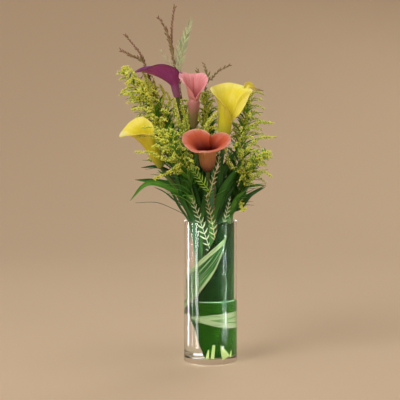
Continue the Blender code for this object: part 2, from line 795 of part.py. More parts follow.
def clear_scene():
    for old in list(bpy.data.objects):
        bpy.data.objects.remove(old, do_unlink=True)


def main():
    clear_scene()
    finishes = {
        "glass": material("clear_glass", (0.86, 0.92, 0.91), 0.02, alpha=0.3),
        "water": material("water", (0.80, 0.88, 0.86), 0.02, alpha=0.3),
        "stem": material("stem_green", (0.20, 0.32, 0.08), 0.5),
        "leaf": material("leaf_green", (0.05, 0.17, 0.05), 0.45),
        "striped": material("striped_leaf", (0.30, 0.40, 0.15), 0.45),
        "spadix": material("spadix_yellow", (0.75, 0.50, 0.08), 0.6),
        "plume": material("goldenrod_yellow", (0.45, 0.48, 0.05), 0.7),
        "sprig": material("sprig_brown", (0.22, 0.14, 0.08), 0.6),
        "silver": material("frond_silver", (0.48, 0.60, 0.36), 0.5),
        "tan": material("frond_tan", (0.45, 0.42, 0.20), 0.55),
        "coral_calla": material("spathe_coral", (0.55, 0.12, 0.08), 0.4),
        "pink_calla": material("spathe_pink", (0.62, 0.17, 0.16), 0.4),
        "yellow_right_calla": material("spathe_yellow", (0.80, 0.62, 0.03), 0.4),
        "purple_calla": material("spathe_purple", (0.22, 0.04, 0.12), 0.4),
    }
    finishes["yellow_left_calla"] = finishes["yellow_right_calla"]
    neighbours = Neighbours()
    build_vase(finishes["glass"])
    build_lining_leaf(finishes["leaf"])
    build_coiled_leaf(finishes["striped"])
    for calla in CALLAS:
        build_calla(calla, finishes, neighbours)
    for rod in GOLDENRODS:
        build_goldenrod(rod, finishes, neighbours)
    for sprig in SPRIGS:
        build_sprig(sprig, finishes, neighbours)
    for frond in FRONDS:
        build_frond(frond, finishes, neighbours)
    paths = {piece.name: (piece.stem(), piece.foot_radius) for piece in (*SPRIGS, *FRONDS)}
    paths |= {f"{piece.name}_stem": (piece.stem(), piece.foot_radius) for piece in (*CALLAS, *GOLDENRODS)}
    for blade in BLADES:
        build_blade(blade, paths, finishes, neighbours)
    for rod in GOLDENRODS:
        build_plume(rod, finishes, neighbours)
    build_water([*CALLAS, *GOLDENRODS, *SPRIGS, *FRONDS], finishes["water"])


main()
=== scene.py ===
"""Calla lilies with goldenrod, toothed fronds and long leaves, standing in a clear glass cylinder vase.

Metres, +Z up. The origin is the centre of the vase's foot, the front faces -Y and +X is to the right.
"""

import logging
import math
from dataclasses import dataclass, field, replace
from enum import Enum
from typing import Protocol, Sequence

import bpy
import numpy as np
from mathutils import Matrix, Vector


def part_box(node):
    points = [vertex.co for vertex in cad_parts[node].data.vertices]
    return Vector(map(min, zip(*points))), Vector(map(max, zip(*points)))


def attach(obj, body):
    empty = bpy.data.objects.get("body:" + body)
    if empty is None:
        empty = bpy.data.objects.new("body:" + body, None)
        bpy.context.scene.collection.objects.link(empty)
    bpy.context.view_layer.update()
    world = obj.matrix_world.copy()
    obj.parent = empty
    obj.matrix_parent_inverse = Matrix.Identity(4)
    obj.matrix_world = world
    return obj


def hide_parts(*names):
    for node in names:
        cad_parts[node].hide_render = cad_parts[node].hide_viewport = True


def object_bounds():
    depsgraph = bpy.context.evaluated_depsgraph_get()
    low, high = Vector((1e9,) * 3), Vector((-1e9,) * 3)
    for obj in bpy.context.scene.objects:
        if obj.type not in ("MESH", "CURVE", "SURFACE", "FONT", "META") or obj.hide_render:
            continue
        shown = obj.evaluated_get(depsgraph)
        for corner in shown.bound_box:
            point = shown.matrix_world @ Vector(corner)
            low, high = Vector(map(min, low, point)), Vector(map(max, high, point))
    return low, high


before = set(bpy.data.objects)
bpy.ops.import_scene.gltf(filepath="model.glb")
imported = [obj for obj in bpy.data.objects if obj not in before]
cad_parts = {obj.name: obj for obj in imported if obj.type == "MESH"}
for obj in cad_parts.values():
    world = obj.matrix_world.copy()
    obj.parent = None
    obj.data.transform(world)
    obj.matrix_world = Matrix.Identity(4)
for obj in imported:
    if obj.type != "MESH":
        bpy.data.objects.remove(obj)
CAD_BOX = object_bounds()

LOG = logging.getLogger("arrangement")

MM = 0.001
GAP = 0.0003
VASE_RADIUS, _, VASE_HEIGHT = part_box("cylinder_vase")[1]
VASE_WALL = 0.003
VASE_BASE = 0.010
BORE_RADIUS = VASE_RADIUS - VASE_WALL
WATER_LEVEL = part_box("water")[1][2]
FOOT_LEVEL = VASE_BASE + GAP
FOOT_SCALE = 0.6
FOOT_CENTRE = np.array([0.012, 0.002])
FOOT_LIFT = 0.001
GOLDEN_ANGLE = math.radians(137.5)
UP = np.array([0.0, 0.0, 1.0])
RIGHT = np.array([1.0, 0.0, 0.0])

Array = np.ndarray
Scatter = np.random.Generator
Piece = bpy.types.Object
Material = bpy.types.Material
Colour = tuple[float, float, float]
Triple = tuple[float, float, float]
Points = Sequence[Triple]
Sheet = tuple[Array, Array]  # a grid of points, and each point's place on its own surface


# ---- Paths ----


def unit(vectors: Array) -> Array:
    """Scales a vector, or each vector in an array's last axis, to length one."""
    vectors = np.asarray(vectors, dtype=float)
    return vectors / np.maximum(np.linalg.norm(vectors, axis=-1, keepdims=True), 1e-12)


def millimetres(points: Points) -> Array:
    """Turns points in millimetres into an array in metres."""
    return np.asarray(points, dtype=float) * MM


def smooth_path(
    points: Array, count: int, start: Array | None = None, end: Array | None = None
) -> Array:
    """Reads a smooth cubic curve through the points.

    Args:
        points: The points that the curve passes, one a row.
        count: How many places to read, at equal steps of the parameter.
        start: The direction in which the curve sets off.
        end: The direction in which it arrives.

    Returns:
        The places, one a row.
    """
    points = np.asarray(points, dtype=float)
    steps = np.diff(points, axis=0)
    slopes = np.empty_like(points)
    slopes[0], slopes[-1] = steps[0], steps[-1]
    slopes[1:-1] = (steps[:-1] + steps[1:]) / 2
    if start is not None:
        slopes[0] = unit(start) * np.linalg.norm(steps[0])
    if end is not None:
        slopes[-1] = unit(end) * np.linalg.norm(steps[-1])
    places = np.linspace(0, len(steps), count)
    spans = np.minimum(places.astype(int), len(steps) - 1)
    t = (places - spans)[:, None]
    p0, p1, m0, m1 = points[spans], points[spans + 1], slopes[spans], slopes[spans + 1]
    near = (2 * t**3 - 3 * t**2 + 1) * p0 + (t**3 - 2 * t**2 + t) * m0
    return near + (3 * t**2 - 2 * t**3) * p1 + (t**3 - t**2) * m1


def tangents(path: Array) -> Array:
    """The unit direction of a path at each of its points."""
    return unit(np.gradient(path, axis=0))


def distances(path: Array) -> Array:
    """How far along a path each of its points lies."""
    return np.concatenate([[0], np.cumsum(np.linalg.norm(np.diff(path, axis=0), axis=1))])


def read_at(rows: Array, marks: Array, places: Array | float) -> Array:
    """Reads rows of values that are known at marks, at other places between the marks."""
    return np.stack([np.interp(places, marks, column) for column in rows.T], axis=-1)


def part_way(path: Array, share: float) -> tuple[Array, Array]:
    """The point at a share of a path's steps, and the path's direction there."""
    place = share * (len(path) - 1)
    low = min(int(place), len(path) - 2)
    step = path[low + 1] - path[low]
    return path[low] + step * (place - low), unit(step)


def square_to(direction: Array, towards: Array) -> Array:
    """The unit vectors nearest to towards that are square to direction."""
    direction = unit(direction)
    towards = np.broadcast_to(np.asarray(towards, dtype=float), direction.shape)
    return unit(towards - direction * np.sum(direction * towards, axis=-1, keepdims=True))


def turned(first: Array, second: Array, angle: Array | float) -> Array:
    """Directions at angles from first towards second, which is square to it."""
    return first * np.cos(angle)[..., None] + second * np.sin(angle)[..., None]


def upright_axes(point: Array, towards: Array) -> Array:
    """For each copy of a form, the axes that lay its +Z along point, as the columns of a matrix."""
    across = square_to(point, towards)
    return np.stack([across, np.cross(point, across), point], axis=-1)


def ease(values: Array, low: float, high: float) -> Array:
    """Rises smoothly from 0 at low to 1 at high."""
    t = np.clip((np.asarray(values, dtype=float) - low) / (high - low), 0, 1)
    return t * t * (3 - 2 * t)


def stem_path(
    rim: tuple[float, float], above: Points, count: int, end: Array | None = None
) -> Array:
    """A stem from the gathered feet on the vase's floor, straight to the rim, then through the points above.

    Args:
        rim: Its place at the level of the rim, as x and y in millimetres.
        above: Points above the rim, in millimetres.
        count: How many places to read above the rim.
        end: The direction in which it arrives at its top.

    Returns:
        The stem's points, in metres.
    """
    side = np.array(rim) * MM
    low, top = np.array([*(FOOT_CENTRE + FOOT_SCALE * side), FOOT_LEVEL]), np.array([*side, VASE_HEIGHT])
    low = low + (top - low) * (FOOT_LIFT / (top[2] - low[2]))
    straight = low + (top - low) * np.linspace(0, 1, 8)[:-1, None]
    curve = smooth_path(np.vstack([top, millimetres(above)]), count, top - low, end)
    return np.vstack([straight, curve])


def at_height(path: Array, level: float) -> Array:
    """The point at which a path passes a level."""
    last = int(np.argmax(path[:, 2] >= level))
    low, high = path[last - 1], path[last]
    return low + (high - low) * (level - low[2]) / (high[2] - low[2])


# ---- Loose geometry ----


@dataclass
class Form:
    """Points, faces and, for each point, its place on its own surface, which the finishes read."""

    points: Array
    faces: list[Array]
    place: Array

    def spread(self, origins: Array, axes: Array, sizes: Array, tones: Array) -> "Form":
        """Copies the form to many places.

        Args:
            origins: Where each copy's origin goes, one a row.
            axes: For each copy, its three axes as the columns of a matrix.
            sizes: The scale of each copy, as one number or one for each axis.
            tones: What each copy has as the first and third value of its place.

        Returns:
            All the copies as one form.
        """
        sizes = np.asarray(sizes, dtype=float)
        sizes = sizes[:, None, None] if sizes.ndim == 1 else sizes[:, None, :]
        points = np.einsum("nij,nkj->nki", axes, self.points[None] * sizes) + origins[:, None, :]
        place = np.repeat(self.place[None], len(origins), axis=0)
        place[:, :, 0] = tones[:, 0, None]
        place[:, :, 2] = tones[:, 1, None]
        steps = (np.arange(len(origins)) * len(self.points))[:, None, None]
        faces = [(group[None] + steps).reshape(-1, group.shape[1]) for group in self.faces]
        return Form(points.reshape(-1, 3), faces, place.reshape(-1, 3))


def joined(forms: Sequence[Form]) -> Form:
    """Puts forms together as one."""
    faces: list[Array] = []
    start = 0
    for form in forms:
        faces += [group + start for group in form.faces]
        start += len(form.points)
    return Form(np.vstack([form.points for form in forms]), faces, np.vstack([form.place for form in forms]))


def grid_faces(rows: int, columns: int, closed: bool = False) -> Array:
    """The four-cornered faces of a grid of points, closed round its columns if asked."""
    last = columns if closed else columns - 1
    r, c = np.meshgrid(np.arange(rows - 1), np.arange(last), indexing="ij")
    n = (c + 1) % columns
    corners = (r * columns + c, r * columns + n, (r + 1) * columns + n, (r + 1) * columns + c)
    return np.stack(corners, axis=-1).reshape(-1, 4)


def grid_place(across: Array, along: Array, tone: Array | float) -> Array:
    """The place of each point of a grid: its value across, its share of the length, and a tone."""
    return np.stack(np.broadcast_arrays(across, along, tone), axis=-1).astype(float)


def tube(
    path: Array,
    widths: Array | float,
    depths: Array | None = None,
    sides: int = 10,
    across: Sequence[float] = (1.0, 0.1, 0.05),
    tone: float = 0.5,
) -> Form:
    """A closed tube of round or oval section along a path.

    Args:
        path: The tube's middle line.
        widths: Half its width along the path.
        depths: Half its depth, or the width where it is round.
        sides: Corners of its section.
        across: The way that the width lies.
        tone: The third value of its place.

    Returns:
        The tube, its place holding the turn, the share of the length and the tone.
    """
    count = len(path)
    widths = np.broadcast_to(widths, count)
    depths = widths if depths is None else depths
    ways = tangents(path)
    side = square_to(ways, np.asarray(across))
    front = np.cross(ways, side)
    turns = np.arange(sides) * 2 * math.pi / sides
    rings = side[:, None] * (widths[:, None] * np.cos(turns))[..., None]
    rings = rings + front[:, None] * (depths[:, None] * np.sin(turns))[..., None] + path[:, None]
    points = np.vstack([rings.reshape(-1, 3), path[:1], path[-1:]])
    share = np.linspace(0, 1, count)
    place = grid_place(turns[None] / (2 * math.pi), share[:, None], tone).reshape(-1, 3)
    place = np.vstack([place, [0, 0, tone], [0, 1, tone]])
    ring = np.arange(sides)
    after = (ring + 1) % sides
    foot = np.column_stack([after, ring, np.full(sides, count * sides)])
    top = (count - 1) * sides
    head = np.column_stack([ring + top, after + top, np.full(sides, count * sides + 1)])
    return Form(points, [grid_faces(count, sides, closed=True), foot, head], place)


def tapered(path: Array, first: float, last: float, sides: int, tone: float = 0.5) -> Form:
    """A round tube whose radius goes evenly from first to last."""
    return tube(path, np.linspace(first, last, len(path)), sides=sides, tone=tone)


def thin_solid(points: Array, place: Array, thickness: float) -> Form:
    """Closes a small grid of points into a thin solid, thickest along its middle."""
    rows, columns = points.shape[:2]
    down = unit(np.cross(points[-1, 0] - points[0, 0] + 1e-9, points[rows // 2, -1] - points[rows // 2, 0]))
    thick = 0.2 + 0.8 * (1 - np.abs(np.linspace(-1, 1, columns)) ** 2)
    lift = down * thickness / 2 * thick[None, :, None]
    upper, lower = points + lift, points - lift
    ring = np.concatenate([upper, lower[:, ::-1]], axis=1)
    spots = np.concatenate([place, place[:, ::-1]], axis=1)
    sides = 2 * columns
    low = np.array([[c, c + 1, sides - 2 - c, sides - 1 - c] for c in range(columns - 1)])[:, ::-1]
    faces = [grid_faces(rows, sides, closed=True), low, low[:, ::-1] + (rows - 1) * sides]
    return Form(ring.reshape(-1, 3), faces, spots.reshape(-1, 3))


def form_of(piece: Piece) -> Form:
    """Reads a small modelled piece as a form, its place holding its height share, and removes the piece."""
    mesh = piece.data
    points = np.array([vertex.co for vertex in mesh.vertices])
    kinds: dict[int, list[list[int]]] = {}
    for face in mesh.polygons:
        kinds.setdefault(len(face.vertices), []).append(list(face.vertices))
    heights = points[:, 2]
    share = (heights - heights.min()) / max(np.ptp(heights), 1e-9)
    place = np.column_stack([np.zeros(len(points)), share, np.zeros(len(points))])
    bpy.data.objects.remove(piece, do_unlink=True)
    bpy.data.meshes.remove(mesh)
    return Form(points, [np.array(group) for group in kinds.values()], place)


# ---- Modelling ----


def deselect() -> None:
    """Leaves nothing selected, so that the next operator acts on the new piece alone."""
    if bpy.context.mode != "OBJECT":
        bpy.ops.object.mode_set(mode="OBJECT")
    bpy.ops.object.select_all(action="DESELECT")


def upright(name: str, sides: int, low: float, high: float, foot: float, head: float) -> Piece:
    """Starts a piece from an upright cylinder or cone, with its place in its mesh.

    Args:
        name: The piece's name.
        sides: Corners of its section.
        low: The height of its foot.
        high: The height of its head.
        foot: The radius at its foot.
        head: The radius at its head.

    Returns:
        The piece.
    """
    deselect()
    setting = {"vertices": sides, "depth": high - low, "location": (0, 0, (low + high) / 2)}
    if foot == head:
        bpy.ops.mesh.primitive_cylinder_add(radius=foot, **setting)
    else:
        bpy.ops.mesh.primitive_cone_add(radius1=foot, radius2=head, **setting)
    piece = bpy.context.active_object
    piece.name = name
    bpy.ops.object.transform_apply(location=True)
    return piece


def edit_face(piece: Piece, lowest: bool = False) -> None:
    """Goes into edit mode with only the highest face selected, or the lowest."""
    bpy.ops.object.mode_set(mode="EDIT")
    bpy.ops.mesh.select_all(action="DESELECT")
    bpy.ops.object.mode_set(mode="OBJECT")
    faces = sorted(piece.data.polygons, key=lambda face: face.center.z)
    faces[0 if lowest else -1].select = True
    bpy.ops.object.mode_set(mode="EDIT")


def keep_place(piece: Piece, place: Array) -> None:
    """Stores each point's place on its own surface as the attribute that the finishes read."""
    layer = piece.data.attributes.new("place", "FLOAT_VECTOR", "POINT")
    layer.data.foreach_set("vector", np.ascontiguousarray(place, dtype=np.float32).ravel())


def loose_piece(name: str, form: Form, finish: "Finish") -> Piece:
    """Makes a piece from a form and leaves it alone selected.

    Args:
        name: The piece's name.
        form: Its geometry.
        finish: What it looks like.

    Returns:
        The piece.
    """
    mesh = bpy.data.meshes.new(name)
    faces = [face for group in form.faces for face in group.tolist()]
    mesh.from_pydata(form.points.tolist(), [], faces)
    piece = bpy.data.objects.new(name, mesh)
    bpy.context.scene.collection.objects.link(piece)
    keep_place(piece, form.place)
    mesh.materials.append(made(finish))
    deselect()
    piece.select_set(True)
    bpy.context.view_layer.objects.active = piece
    return piece


def solid_piece(name: str, forms: Sequence[Form], finish: "Finish") -> Piece:
    """Makes a smooth piece from closed forms, with their faces turned outwards."""
    piece = loose_piece(name, joined(forms), finish)
    bpy.ops.object.mode_set(mode="EDIT")
    bpy.ops.mesh.select_all(action="SELECT")
    bpy.ops.mesh.normals_make_consistent(inside=False)
    bpy.ops.object.mode_set(mode="OBJECT")
    bpy.ops.object.shade_smooth_by_angle(angle=math.radians(50))
    return piece


def thicken(piece: Piece, thickness: float) -> Piece:
    """Gives a sheet its thickness, its back and rim taking its last finish, and shades it smooth."""
    solid = piece.modifiers.new("thickness", "SOLIDIFY")
    solid.thickness = thickness
    solid.offset = 0.0
    solid.material_offset = solid.material_offset_rim = len(piece.data.materials) - 1
    bpy.ops.object.modifier_apply(modifier=solid.name)
    bpy.ops.object.shade_smooth_by_angle(angle=math.radians(60))
    return piece


def sheet_piece(name: str, sheet: Sheet, thickness: float, *finishes: "Finish") -> Piece:
    """A leaf or petal: a grid drawn to its shape, given its thickness.

    Args:
        name: The piece's name.
        sheet: Its grid of points and the place of each.
        thickness: How thick it is.
        finishes: The face's finish, then the back's if it has its own.

    Returns:
        The piece.
    """
    points, place = sheet
    rows, columns = points.shape[:2]
    deselect()
    bpy.ops.mesh.primitive_grid_add(x_subdivisions=columns - 1, y_subdivisions=rows - 1, size=1.0)
    piece = bpy.context.active_object
    piece.name = name
    piece.data.name = name
    piece.data.vertices.foreach_set("co", np.ascontiguousarray(points, dtype=np.float32).ravel())
    keep_place(piece, place.reshape(-1, 3))
    for finish in finishes:
        piece.data.materials.append(made(finish))
    return thicken(piece, thickness)


def leaves_piece(name: str, sheets: Sequence[Sheet], thickness: float, finish: "Finish") -> Piece:
    """Makes one piece of many thin leaves, each closed."""
    forms = []
    for points, place in sheets:
        faces = grid_faces(*points.shape[:2])
        forms.append(Form(points.reshape(-1, 3), [faces], place.reshape(-1, 3)))
    return thicken(loose_piece(name, joined(forms), finish), thickness)


def settle(piece: Piece, slot: str, *nodes: str) -> Piece:
    """Lets a finished piece ride with the arrangement and stand for its CAD nodes.

    Args:
        piece: The finished piece.
        slot: The record's material slot for the piece; it is not used.
        nodes: The CAD nodes that it stands for.

    Returns:
        The same piece.
    """
    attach(piece, "root")
    if nodes:
        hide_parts(*nodes)
    faces, role = len(piece.data.polygons), ", ".join(nodes) or "detail"
    LOG.info("%s: %d faces, stands for %s", piece.name, faces, role)
    return piece


def even_normals(piece: Piece) -> None:
    """Shades a rounded solid by its large faces, so that its flat and round walls bend light truly."""
    bpy.ops.object.shade_smooth_by_angle(angle=math.radians(35))
    weighted = piece.modifiers.new("normals", "WEIGHTED_NORMAL")
    weighted.keep_sharp = True
    bpy.ops.object.modifier_apply(modifier=weighted.name)


# ---- Finishes ----

Socket = bpy.types.NodeSocket
Feed = float | Sequence[float] | Socket
Stops = tuple[tuple[float, Colour], ...]


class Finish(Protocol):
    """What every finish has: its name, and a way to build its material."""

    name: str

    def material(self) -> Material:
        """Builds the material."""


class Shader:
    """A material's node tree, built by calls that return sockets."""

    def __init__(self, name: str, **surface: float | Sequence[float]) -> None:
        """Starts a material.

        Args:
            name: The material's name.
            surface: Values for the surface's own sockets, named with _ for a space.
        """
        self.material = bpy.data.materials.new(name)
        self.material.use_nodes = True
        self.tree = self.material.node_tree
        self.surface = self.tree.nodes["Principled BSDF"]
        for socket, value in surface.items():
            self.surface.inputs[socket.replace("_", " ")].default_value = value

    def add(self, kind: str, feeds: dict[str | int, Feed], **settings: str | bool) -> bpy.types.Node:
        """Adds a node.

        Args:
            kind: The node's type.
            feeds: A value or a socket for each of its inputs.
            settings: The node's own settings.

        Returns:
            The node.
        """
        node = self.tree.nodes.new(kind)
        for key, value in settings.items():
            setattr(node, key, value)
        for key, feed in feeds.items():
            if isinstance(feed, Socket):
                self.tree.links.new(feed, node.inputs[key])
            else:
                node.inputs[key].default_value = feed
        return node

    def body(self) -> Socket:
        """The object's own coordinates."""
        return self.add("ShaderNodeTexCoord", {}).outputs["Object"]

    def parts(self, vector: Socket) -> list[Socket]:
        """The three values of a vector."""
        return list(self.add("ShaderNodeSeparateXYZ", {0: vector}).outputs)

    def place(self) -> list[Socket]:
        """The three values of a point's place on its own surface."""
        return self.parts(self.add("ShaderNodeAttribute", {}, attribute_name="place").outputs["Vector"])

    def maths(self, operation: str, a: Feed, b: Feed = 0.0, c: Feed = 0.0) -> Socket:
        """A sum on values."""
        return self.add("ShaderNodeMath", {0: a, 1: b, 2: c}, operation=operation).outputs[0]

    def times(self, a: Feed, b: Feed) -> Socket:
        """One value times another."""
        return self.maths("MULTIPLY", a, b)

    def opposite(self, value: Feed) -> Socket:
        """What a value lacks to one."""
        return self.maths("SUBTRACT", 1.0, value)

    def noise(self, vector: Feed, scale: float, detail: float = 2.0, rough: float = 0.5) -> Socket:
        """Soft noise from about 0 to 1."""
        feeds = {"Vector": vector, "Scale": scale, "Detail": detail, "Roughness": rough}
        return self.add("ShaderNodeTexNoise", feeds).outputs[0]

    def streaks(
        self,
        across: Feed,
        along: Feed,
        counts: tuple[float, float],
        detail: float,
        rough: float = 0.5,
        shift: Feed = 0.0,
    ) -> Socket:
        """Noise drawn out into streaks along a surface.

        Args:
            across: The place across the surface.
            along: The share of its length.
            counts: How many patches there are to one unit of each.
            detail: How much detail the streaks have.
            rough: How strong that detail is.
            shift: What makes one leaf's streaks unlike the next one's.

        Returns:
            The streaks, from about 0 to 1.
        """
        feeds = {0: self.times(across, counts[0]), 1: self.times(along, counts[1]), 2: shift}
        return self.noise(self.add("ShaderNodeCombineXYZ", feeds).outputs[0], 1.0, detail, rough)

    def rise(self, value: Feed, low: float, high: float) -> Socket:
        """Rises smoothly from 0 at low to 1 at high."""
        feeds = {"Value": value, "From Min": low, "From Max": high}
        return self.add("ShaderNodeMapRange", feeds, interpolation_type="SMOOTHSTEP").outputs[0]

    def blend(self, share: Feed, a: Feed, b: Feed) -> Socket:
        """Mixes two colours."""
        first, second = (feed if isinstance(feed, Socket) else (*feed, 1.0) for feed in (a, b))
        return self.add("ShaderNodeMix", {0: share, 6: first, 7: second}, data_type="RGBA").outputs[2]

    def lay(self, base: Feed, top: Feed, value: Feed, low: float, high: float, share: float) -> Socket:
        """Lays one colour over another where a value is high.

        Args:
            base: The colour below.
            top: The colour that is laid over it.
            value: What decides where.
            low: The value at which the upper colour begins.
            high: The value at which it has its whole share.
            share: How far it covers the colour below.

        Returns:
            The colour.
        """
        return self.blend(self.times(self.rise(value, low, high), share), base, top)

    def ramp(self, value: Feed, stops: Stops) -> Socket:
        """Colours a value by stops.

        Args:
            value: What is coloured, from 0 to 1.
            stops: Pairs of a position and a colour.

        Returns:
            The colour.
        """
        node = self.add("ShaderNodeValToRGB", {0: value})
        points = node.color_ramp.elements
        for position, _ in stops[2:]:
            points.new(position)
        for point, (position, colour) in zip(points, stops):
            point.position = position
            point.color = (*colour, 1.0)
        return node.outputs[0]

    def paint(self, colour: Socket) -> None:
        """Feeds the surface's colour."""
        self.tree.links.new(colour, self.surface.inputs["Base Color"])

    def relief(self, height: Socket, depth: float, strength: float) -> None:
        """Gives the surface a fine relief."""
        node = self.add("ShaderNodeBump", {"Height": height, "Distance": depth, "Strength": strength})
        self.tree.links.new(node.outputs[0], self.surface.inputs["Normal"])

    def rough(self, cloud: Socket, span: float, least: float) -> None:
        """Lets the surface's roughness vary with a cloud, from its least value up."""
        value = self.maths("MULTIPLY_ADD", cloud, span, least)
        self.tree.links.new(value, self.surface.inputs["Roughness"])

    def let_lamps_through(self, tint: Colour) -> None:
        """Lets lamps shine through clear glass or water, as they do in life."""
        lamp_ray = self.add("ShaderNodeLightPath", {}).outputs["Is Shadow Ray"]
        open_way = self.add("ShaderNodeBsdfTransparent", {0: (*tint, 1.0)}).outputs[0]
        both = self.add("ShaderNodeMixShader", {0: lamp_ray, 1: self.surface.outputs[0], 2: open_way})
        self.tree.links.new(both.outputs[0], self.tree.nodes["Material Output"].inputs["Surface"])


@dataclass(frozen=True)
class ClearFinish:
    """Glass or water: clear, with faint waves in its surface."""

    name: str
    index: float
    tint: Colour
    wave: float

    def material(self) -> Material:
        """Builds the material."""
        shader = Shader(
            self.name,
            Transmission_Weight=1.0,
            IOR=self.index,
            Roughness=0.0,
            Specular_Tint=(0.20, 0.20, 0.20, 1.0),
        )
        drawn_out = {"Vector": shader.body(), "Scale": (60.0, 60.0, 6.0)}
        cloud = shader.noise(shader.add("ShaderNodeMapping", drawn_out).outputs[0], scale=1.0, detail=1.0)
        pale = tuple(min(1.0, value + 0.03) for value in self.tint)
        shader.paint(shader.blend(cloud, self.tint, pale))
        shader.relief(cloud, depth=self.wave, strength=0.3)
        shader.let_lamps_through(pale)
        return shader.material


@dataclass(frozen=True)
class PetalFinish:
    """A calla's spathe: colours from its base to its lip, with fine veins running up it."""

    name: str
    stops: Stops
    vein: Colour
    vein_share: float = 0.25
    veins: float = 26.0
    blush: Colour = (1.0, 1.0, 1.0)
    blush_share: float = 0.0
    gloss: float = 0.42
    tip: Colour = (0.10, 0.02, 0.03)
    tip_reach: float = 0.0
    ridge: Colour = (0.80, 0.62, 0.38)
    ridge_share: float = 0.0

    def material(self) -> Material:
        """Builds the material."""
        shader = Shader(
            self.name,
            Roughness=self.gloss,
            Subsurface_Weight=0.12,
            Subsurface_Radius=(0.004, 0.002, 0.001),
            Sheen_Weight=0.05,
            Sheen_Roughness=0.4,
            Specular_IOR_Level=0.25,
        )
        across, along, far = shader.place()
        streak = shader.streaks(across, along, (self.veins, 1.6), detail=4.0, rough=0.65)
        cloud = shader.noise(shader.body(), scale=45.0, detail=3.0)
        drift = shader.maths("MULTIPLY_ADD", shader.maths("SUBTRACT", cloud, 0.5), 0.16, along)
        colour = shader.ramp(drift, self.stops)
        colour = shader.lay(colour, self.vein, streak, low=0.45, high=0.7, share=self.vein_share)
        colour = shader.lay(colour, self.blush, cloud, low=0.42, high=0.68, share=self.blush_share)
        # A pale ridge up the middle of the outside: partly a cream streak, partly a painted highlight.
        if self.ridge_share:
            middle = shader.rise(shader.maths("ABSOLUTE", across), 0.05, 0.01)
            ridge = shader.times(middle, shader.rise(along, 0.40, 0.75))
            colour = shader.blend(shader.times(ridge, self.ridge_share), colour, self.ridge)
        if self.tip_reach:
            near = shader.opposite(shader.rise(far, 0.2 * self.tip_reach, self.tip_reach))
            colour = shader.blend(near, colour, self.tip)
        shader.paint(colour)
        shader.relief(streak, depth=0.0004, strength=0.35)
        shader.rough(cloud, 0.2, self.gloss - 0.1)
        return shader.material


@dataclass(frozen=True)
class LeafFinish:
    """A leaf's green face, with a paler midrib and fine veins beside it."""

    name: str
    face: Colour
    deep: Colour
    vein: Colour
    veins: float = 9.0
    rib: float = 0.06
    vein_share: float = 0.35
    gloss: float = 0.45

    def material(self) -> Material:
        """Builds the material."""
        shader = Shader(self.name, Roughness=self.gloss, Specular_IOR_Level=0.2)
        across, along, tone = shader.place()
        shift = shader.times(tone, 20.0)
        streak = shader.streaks(across, along, (self.veins, 2.5), detail=3.0, rough=0.6, shift=shift)
        cloud = shader.noise(shader.body(), scale=70.0, detail=3.0)
        shade = shader.maths("MULTIPLY_ADD", tone, 0.7, shader.times(cloud, 0.45))
        colour = shader.blend(shader.rise(shade, 0.2, 0.9), self.deep, self.face)
        colour = shader.lay(colour, self.vein, streak, low=0.5, high=0.72, share=self.vein_share)
        middle = shader.opposite(shader.rise(shader.maths("ABSOLUTE", across), self.rib * 0.4, self.rib))
        shader.paint(shader.blend(shader.times(middle, 0.7), colour, self.vein))
        shader.relief(streak, depth=0.0003, strength=0.4)
        shader.rough(cloud, 0.25, self.gloss - 0.12)
        return shader.material


@dataclass(frozen=True)
class StripedFinish:
    """The coiled leaf: cream margins with a green line in them, and a dark middle with fine light stripes."""

    name: str
    cream: Colour
    green: Colour
    dark: Colour

    def material(self) -> Material:
        """Builds the material."""
        shader = Shader(self.name, Roughness=0.5, Specular_IOR_Level=0.1)
        width, along, margin = shader.place()
        fine = shader.streaks(width, along, (0.42, 4.0), detail=2.0, rough=0.55, shift=4.0)
        margin = shader.maths("MULTIPLY_ADD", fine, 0.12, shader.maths("SUBTRACT", margin, 0.06))
        middle = shader.blend(shader.rise(fine, 0.44, 0.58), self.dark, self.green)
        middle = shader.lay(middle, self.cream, fine, low=0.585, high=0.64, share=0.8)
        off_line = shader.maths("ABSOLUTE", shader.maths("SUBTRACT", margin, 0.42))
        line = shader.opposite(shader.rise(off_line, 0.03, 0.08))
        cream = shader.lay(self.cream, self.green, fine, low=0.5, high=0.66, share=0.55)
        cream = shader.blend(shader.times(line, 0.8), cream, self.green)
        shader.paint(shader.blend(shader.rise(margin, 0.94, 1.04), cream, middle))
        shader.relief(fine, depth=0.0003, strength=0.4)
        return shader.material


@dataclass(frozen=True)
class LiningFinish:
    """The leaf against the glass: darker above the water and brighter in it, which is painted shade above the
    water and painted light in it, with a pale line between them that is a painted highlight of the water's
    edge.
    """

    name: str
    # dry and wet are the leaf's colours above and in the water: the darker one is painted shade, the brighter
    # one painted light.
    dry: Colour
    wet: Colour
    vein: Colour
    # shine is a painted highlight: the pale line where the water meets the glass.
    shine: Colour = (0.38, 0.50, 0.36)

    def material(self) -> Material:
        """Builds the material."""
        shader = Shader(self.name, Roughness=0.6, Specular_IOR_Level=0.0)
        across, along, _ = shader.place()
        height = shader.parts(shader.body())[2]
        streak = shader.streaks(across, along, (17.0, 1.5), detail=4.0, rough=0.65)
        cloud = shader.noise(shader.body(), scale=40.0)
        # Painted shade above the water and painted light in it: the colour steps from the dry colour to the
        # wet one at the water line.
        under_water = shader.rise(height, low=WATER_LEVEL + 0.0008, high=WATER_LEVEL - 0.0008)
        colour = shader.blend(under_water, self.dry, self.wet)
        share = shader.times(shader.rise(streak, 0.4, 0.75), shader.maths("MULTIPLY_ADD", cloud, 0.8, 0.1))
        colour = shader.blend(share, colour, self.vein)
        # A painted highlight: a pale line along the water level.
        off = shader.maths("ABSOLUTE", shader.maths("SUBTRACT", height, WATER_LEVEL))
        shader.paint(shader.lay(colour, self.shine, off, low=0.0012, high=0.0004, share=0.8))
        shader.relief(streak, depth=0.0003, strength=0.5)
        return shader.material


